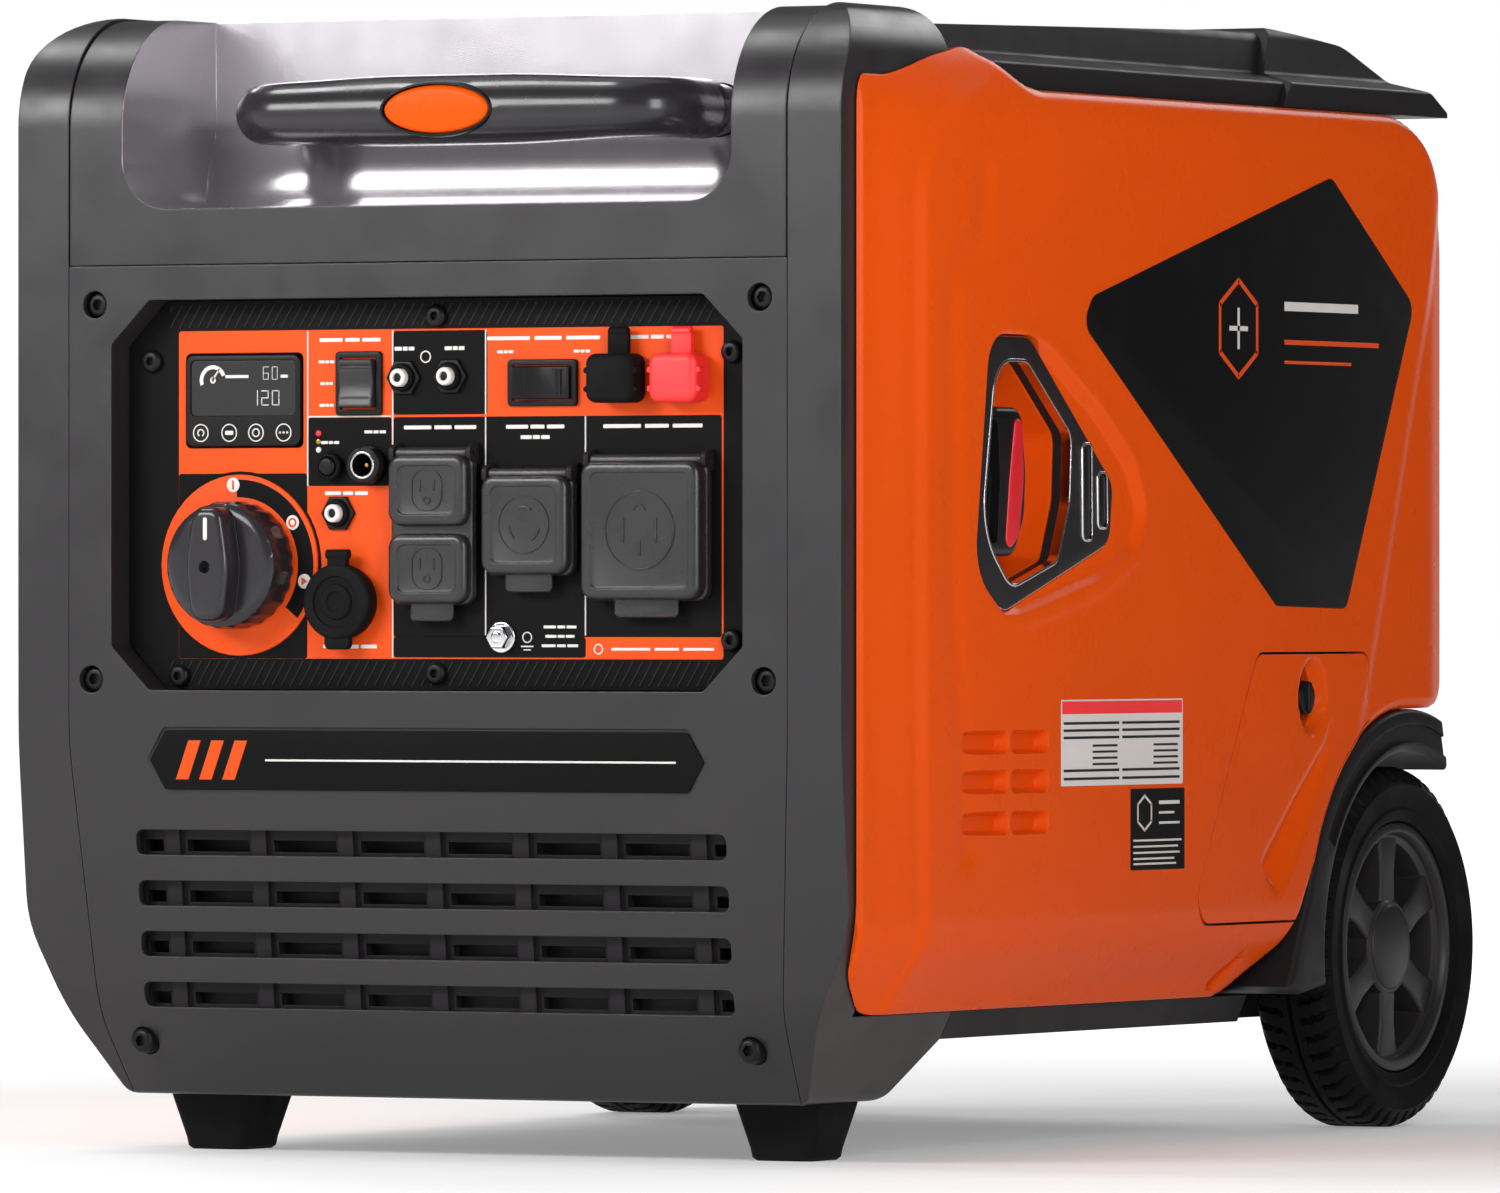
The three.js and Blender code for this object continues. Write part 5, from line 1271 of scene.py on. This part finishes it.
def rear_cap():
    side = filleted([(at(CAP_SEAM[1]), PANEL_TOP + SEAM), (at(CAP_SEAM[0]), BODY_HEIGHT, 4),
                     (at(580), BODY_HEIGHT - 7, 60), (at(638), 529, 25), (at(658), PANEL_TOP + 3, 2),
                     (at(658), PANEL_TOP + SEAM)], degrees=4)
    outer = common(prism("x", side, -240, 240),
                   prism("y", top_view(BODY_HEIGHT, HOOP_HALF + 4), at(440), at(670)))
    return cut(outer, box((-186, 186), (at(CAP_SEAM[0] + 4), at(620)), (PANEL_TOP - 2, 532)),
               *guide_notches())


piece("rear_cap_shell", rear_cap(), TRIM, "casing", "rear_top_cap", bevel=1.6)


def fuel_cap():
    cap = turned("z", 0, CAP_Y,
                 [(0.01, 531), (36.5, 531), (38, 532.5), (38, 547), (36, 549.3), (30, 550), (28, 548.6),
                  (0.01, 548.6)])
    notches = [rod("z", 39.6 * math.cos(a), CAP_Y + 39.6 * math.sin(a), 2.6, 530, 552, count=16)
               for a in (2 * math.pi * k / 24 for k in range(24))]
    bar = prism("z", rectangle(-26, 26, CAP_Y - 7, CAP_Y + 7, 7), 540, 550, round_high=2)
    return cut(join(cut(cap, *notches), bar), rod("z", 0, CAP_Y, 26.5, 528, 541.5))


piece("fuel_cap_body", fuel_cap(), BLACK, "fuel_cap", "fuel_cap", bevel=0.5)

# ---------------------------------------------------------------- wheels, fenders and feet
TYRE_COUNT = 432
TREAD_BLOCKS = 54
TREAD_SLANT = 0.022         # turns of a block per mm across the tread
GROOVE_SHARE = 0.26
GROOVE_DEPTH = 3.0
SHOULDER_RADIUS = 84
HUB_RADIUS = 24.5
HUB_CAP_RADIUS = 21.8
RIM_FACE = WHEEL_OUTER - 3.4


def tyre(side):
    """A turned tyre whose tread is cut into staggered blocks."""
    half = (WHEEL_OUTER - WHEEL_INNER) / 2
    profile = [(RIM_RADIUS + 0.5, -half + 6), (RIM_RADIUS + 1.5, -half + 3.4), (66, -half + 2.6),
               (68, -half + 1.4), (70, -half + 1.2), (71.4, -half + 2), (78, -half + 0.8), (83, -half + 0.3),
               (84.6, -half + 1.4), (87.5, -half + 3.4)]
    flanks = len(profile)
    tread = [(-half + 5, 90.0), (-half + 7, 91.2)] + [(w, 92)
                                                      for w in np.linspace(-half + 9, half - 9, 21)] + [
        (half - 7, 91.2), (half - 5, 90.0)]
    profile += [(r, w) for w, r in tread] + [(r, -w) for r, w in reversed(profile)]
    vertices, faces = [], []
    for k in range(TYRE_COUNT):
        turn = k / TYRE_COUNT
        for i, (r, w) in enumerate(profile):
            if flanks <= i < len(profile) - flanks or r > SHOULDER_RADIUS:
                along = (turn * TREAD_BLOCKS + (0 if w < 0 else 0.5) + TREAD_SLANT * abs(w)) % 1
                groove = (along < GROOVE_SHARE and abs(w) > 4.2) or abs(w) < 1.3
                r = r - (GROOVE_DEPTH if groove else 0) * min(1, max(0, (r - SHOULDER_RADIUS) / 4))
            a = 2 * math.pi * turn
            vertices.append((side * (WHEEL_INNER + half) + w, AXLE_Y + r * math.cos(a),
                             AXLE_Z + r * math.sin(a)))
    return mesh_object(vertices, strips(TYRE_COUNT, len(profile), wrap=True))


def rim(side):
    def ax(inward):
        return side * (RIM_FACE - inward)
    ring_profile = [(RIM_RADIUS + 0.3, ax(0.8)), (RIM_RADIUS - 1.2, ax(0)), (RIM_RADIUS - 4, ax(0.2)),
                    (RIM_RADIUS - 5.5, ax(2.2)), (RIM_RADIUS - 6, ax(5)), (RIM_RADIUS - 9, ax(6.5)),
                    (RIM_RADIUS - 10.5, ax(14)), (RIM_RADIUS - 12, ax(37)), (RIM_RADIUS + 0.3, ax(37))]
    band = turned("x", AXLE_Y, AXLE_Z, ring_profile, 96)
    web = turned("x", AXLE_Y, AXLE_Z,
                 [(9, ax(26)), (RIM_RADIUS - 8, ax(26)), (RIM_RADIUS - 8, ax(29)), (9, ax(29))], 96)
    spokes = []
    for k in range(6):
        blade = [(14, -8.5, 2), (38, -7.4, 30), (RIM_RADIUS - 6, -11, 3), (RIM_RADIUS - 6, 11, 3),
                 (38, 7.4, 30), (14, 8.5, 2)]
        turn = Matrix.Rotation(math.radians(60 * k + 30), 2)
        outline = [tuple(Vector((AXLE_Y, AXLE_Z)) + turn @ Vector(p)) for p in filleted(blade)]
        ends = sorted((ax(5.2), ax(27.5)))
        spokes.append(prism("x", outline, *ends, *((0, 1.8) if side > 0 else (1.8, 0))))
    hub = turned("x", AXLE_Y, AXLE_Z,
                 [(0.01, ax(36)), (HUB_RADIUS, ax(36)), (HUB_RADIUS, ax(5.4)), (23, ax(4)), (0.01, ax(4))],
                 96)
    bore = rod("x", AXLE_Y, AXLE_Z, 8.6, *sorted((ax(-5), ax(60))))
    return cut(join(band, web, *spokes, hub), bore)


def hub_cap(side):
    def ax(inward):
        return side * (RIM_FACE - inward)
    dome = [(0.01, ax(0.2))] + [(HUB_CAP_RADIUS * math.sin(a), ax(4.2 - 4 * math.cos(a)))
                                for a in np.linspace(0.1, math.pi / 2, 12)]
    profile = dome + [(HUB_CAP_RADIUS, ax(5.2)), (0.01, ax(5.2))]
    return turned("x", AXLE_Y, AXLE_Z, profile, 96)


def fender(side):
    outer, inner = ARCH_RADIUS - SEAM, WHEEL_RADIUS + 8
    shape = [*arch_points(outer, 72, 165, 36), (at(462), SILL + 4), (at(478), SILL),
             *reversed(arch_points(inner, 64, 190, 40)), (at(646), 192)]
    low, high = span(side, WHEEL_INNER - 6, HALF - 2)
    body = prism("x", shape, low, high, *((0, 3.5) if side > 0 else (3.5, 0)))
    face = sorted((side * (HALF - 4.6), side * (HALF + 2)))
    channel = [*arch_points(inner + 14, 66, 150, 36), *reversed(arch_points(inner + 4.5, 66, 150, 36))]
    return cut(body, prism("x", channel, *face))


def foot(side):
    x, y, high = side * 157, at(87), CLEARANCE - 0.3
    return loft("z", [(filleted(rectangle(x - half, x + half, y - half, y + half, 5)), z) for z, half in
                      ((0, 15.4), (1.6, 17), (6, 17.7), (high - 6, 21.6), (high - 2, 22.6), (high, 23))])


for SIDE_NAME, SIDE in MIRROR.items():
    wheel = f"{SIDE_NAME}_wheel"
    piece(f"{SIDE_NAME}_tyre_tread", tyre(SIDE), TYRE, wheel, f"{SIDE_NAME}_tyre", angle=28)
    piece(f"{SIDE_NAME}_rim_spokes", rim(SIDE), RIM, wheel, f"{SIDE_NAME}_rim", bevel=0.8)
    piece(f"{SIDE_NAME}_hub_cap", hub_cap(SIDE), RIM, wheel)
    piece(f"{SIDE_NAME}_fender_shell", fender(SIDE), TRIM, "casing", f"{SIDE_NAME}_fender", "black_plastic",
          bevel=0.6)
    piece(f"{SIDE_NAME}_foot_block", foot(SIDE), RUBBER, "casing", f"{SIDE_NAME}_foot")

# ---------------------------------------------------------------- studio
def studio():
    floor = bpy.data.materials.new("studio_floor")
    floor.use_nodes = True
    tree = floor.node_tree
    place = added(tree, "TexCoord", {}).outputs["Object"]
    away = added(tree, "VectorMath", {0: place}, operation="LENGTH").outputs["Value"]
    glow = added(tree, "MapRange", {"Value": away, **FLOOR_GLOW}).outputs["Result"]
    feed(tree, tree.nodes["Principled BSDF"], {
        "Base Color": (*(FLOOR_GREY,) * 3, 1), "Roughness": 0.7, "Specular IOR Level": 0.2,
        "Emission Color": (1, 1, 1, 1), "Emission Strength": glow})
    reach = 60
    sheet("studio_floor", [(-reach, -reach, 0), (reach, -reach, 0), (reach, reach, 0), (-reach, reach, 0)],
          floor)
    world = bpy.data.worlds.new("studio")
    world.use_nodes = True
    tree = world.node_tree
    place = added(tree, "TexCoord", {}).outputs["Generated"]
    height = added(tree, "SeparateXYZ", {"Vector": place}).outputs["Z"]
    ramp = added(tree, "ValToRGB", {"Fac": height})
    for element, (position, light) in zip(ramp.color_ramp.elements, SKY):
        element.position, element.color = position, (*(light,) * 3, 1)
    feed(tree, tree.nodes["Background"], {"Color": ramp.outputs["Color"]})
    bpy.context.scene.world = world
    for name, where, size, power in SOFTBOXES:
        lamp = bpy.data.lights.new(name, "AREA")
        lamp.shape = "RECTANGLE"
        lamp.size, lamp.size_y = size
        lamp.energy = power
        holder = placed(name, lamp)
        holder.location = where
        holder.rotation_euler = (LIGHTS_AIM - Vector(where)).to_track_quat("-Z", "Y").to_euler()
        holder.visible_camera = False


def sheet(name, corners, material):
    """A single face of the studio."""
    data = bpy.data.meshes.new(name)
    data.from_pydata([tuple(c) for c in corners], [], [(0, 1, 2, 3)])
    data.materials.append(material)
    thing = placed(name, data)
    return thing


def shadow_card(where, wide, high):
    """A dark card out of the picture, that keeps the white floor out of the side panel's sheen."""
    foot, up = Vector(where), Vector((0, 0, high))
    across = Vector((-foot.y, foot.x, 0)).normalized() * wide / 2
    card = sheet("studio_card", [foot - across, foot + across, foot + across + up, foot - across + up], DARK)
    card.visible_camera = False


def camera():
    data = bpy.data.cameras.new("camera")
    data.sensor_width = 36
    data.lens = CAMERA_LENS
    data.shift_y = CAMERA_SHIFT
    data.clip_start, data.clip_end = 0.1, 200
    holder = placed("camera", data)
    holder.location = CAMERA_AT
    holder.rotation_euler = Vector(CAMERA_LOOKS).to_track_quat("-Z", "Y").to_euler()
    bpy.context.scene.camera = holder


# the studio is in metres
SKY = ((0.06, 1.0), (0.16, 0.14))       # height and light of the horizon, then of the dome
FLOOR_GREY = 0.7
FLOOR_GLOW = {"From Min": 0.7, "From Max": 2.6, "To Min": 0.26, "To Max": 1.0}      # distance, then strength
LIGHTS_AIM = Vector((0, 0, 0.3))
SOFTBOXES = [
    ("key_front_left", (-0.85, -1.75, 1.05), (1.1, 0.5), 22),
    ("fill_front_left", (-1.6, -2.7, 1.5), (1.6, 0.9), 10),
    ("top", (-0.9, 0.1, 3.4), (3.0, 2.4), 14),
    ("high_left", (-1.0, -0.3, 2.2), (0.5, 0.7), 14),
    ("right_front", (1.25, -1.35, 0.75), (0.4, 0.9), 13),
    ("left_edge", (-2.4, 1.4, 1.3), (0.6, 1.6), 22),
    ("rear_rim", (0.3, 4.5, 2.6), (2.5, 1.5), 45),
]
CAMERA_AT = (3.3013, -6.1395, 0.267)
CAMERA_LOOKS = (-0.4741, 0.8805, 0.0)
CAMERA_LENS = 333.6
CAMERA_SHIFT = 0.005

# the CAD nodes that still show keep their shapes, and only get a finish
BY_KIND = {"tyre": TYRE, "rim": RIM, "foot": RUBBER, "fender": TRIM, "guide_tube": STEEL}
BY_NAME = {"axle": STEEL, "handle": GRIP, "handle_button": ORANGE, "parallel_cap_red": RED,
           "recoil_bezel": CHROME, "recoil_pocket": ORANGE, "recoil_handle": RECOIL_RED, "rear_cover": CASING,
           "inverter_module": CAST, "engine_block": CAST, "alternator": CAST, "muffler": STEEL,
           "ground_bolt": STEEL, "base_tray": TRIM, "top_cover": TRIM, "rear_top_cap": TRIM,
           "control_panel": LABEL}
for node_name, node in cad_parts.items():
    if node.hide_render:
        continue
    node.data.materials.clear()
    kind = node_name.split("_", 1)[-1]
    node.data.materials.append(BY_KIND.get(kind) or BY_NAME.get(node_name, BLACK))
    bevelled(node, 0.5, 2)

studio()
shadow_card((1.35, 2.1, 0.02), wide=2.2, high=1.3)
camera()
bpy.context.scene.view_settings.view_transform = "Standard"
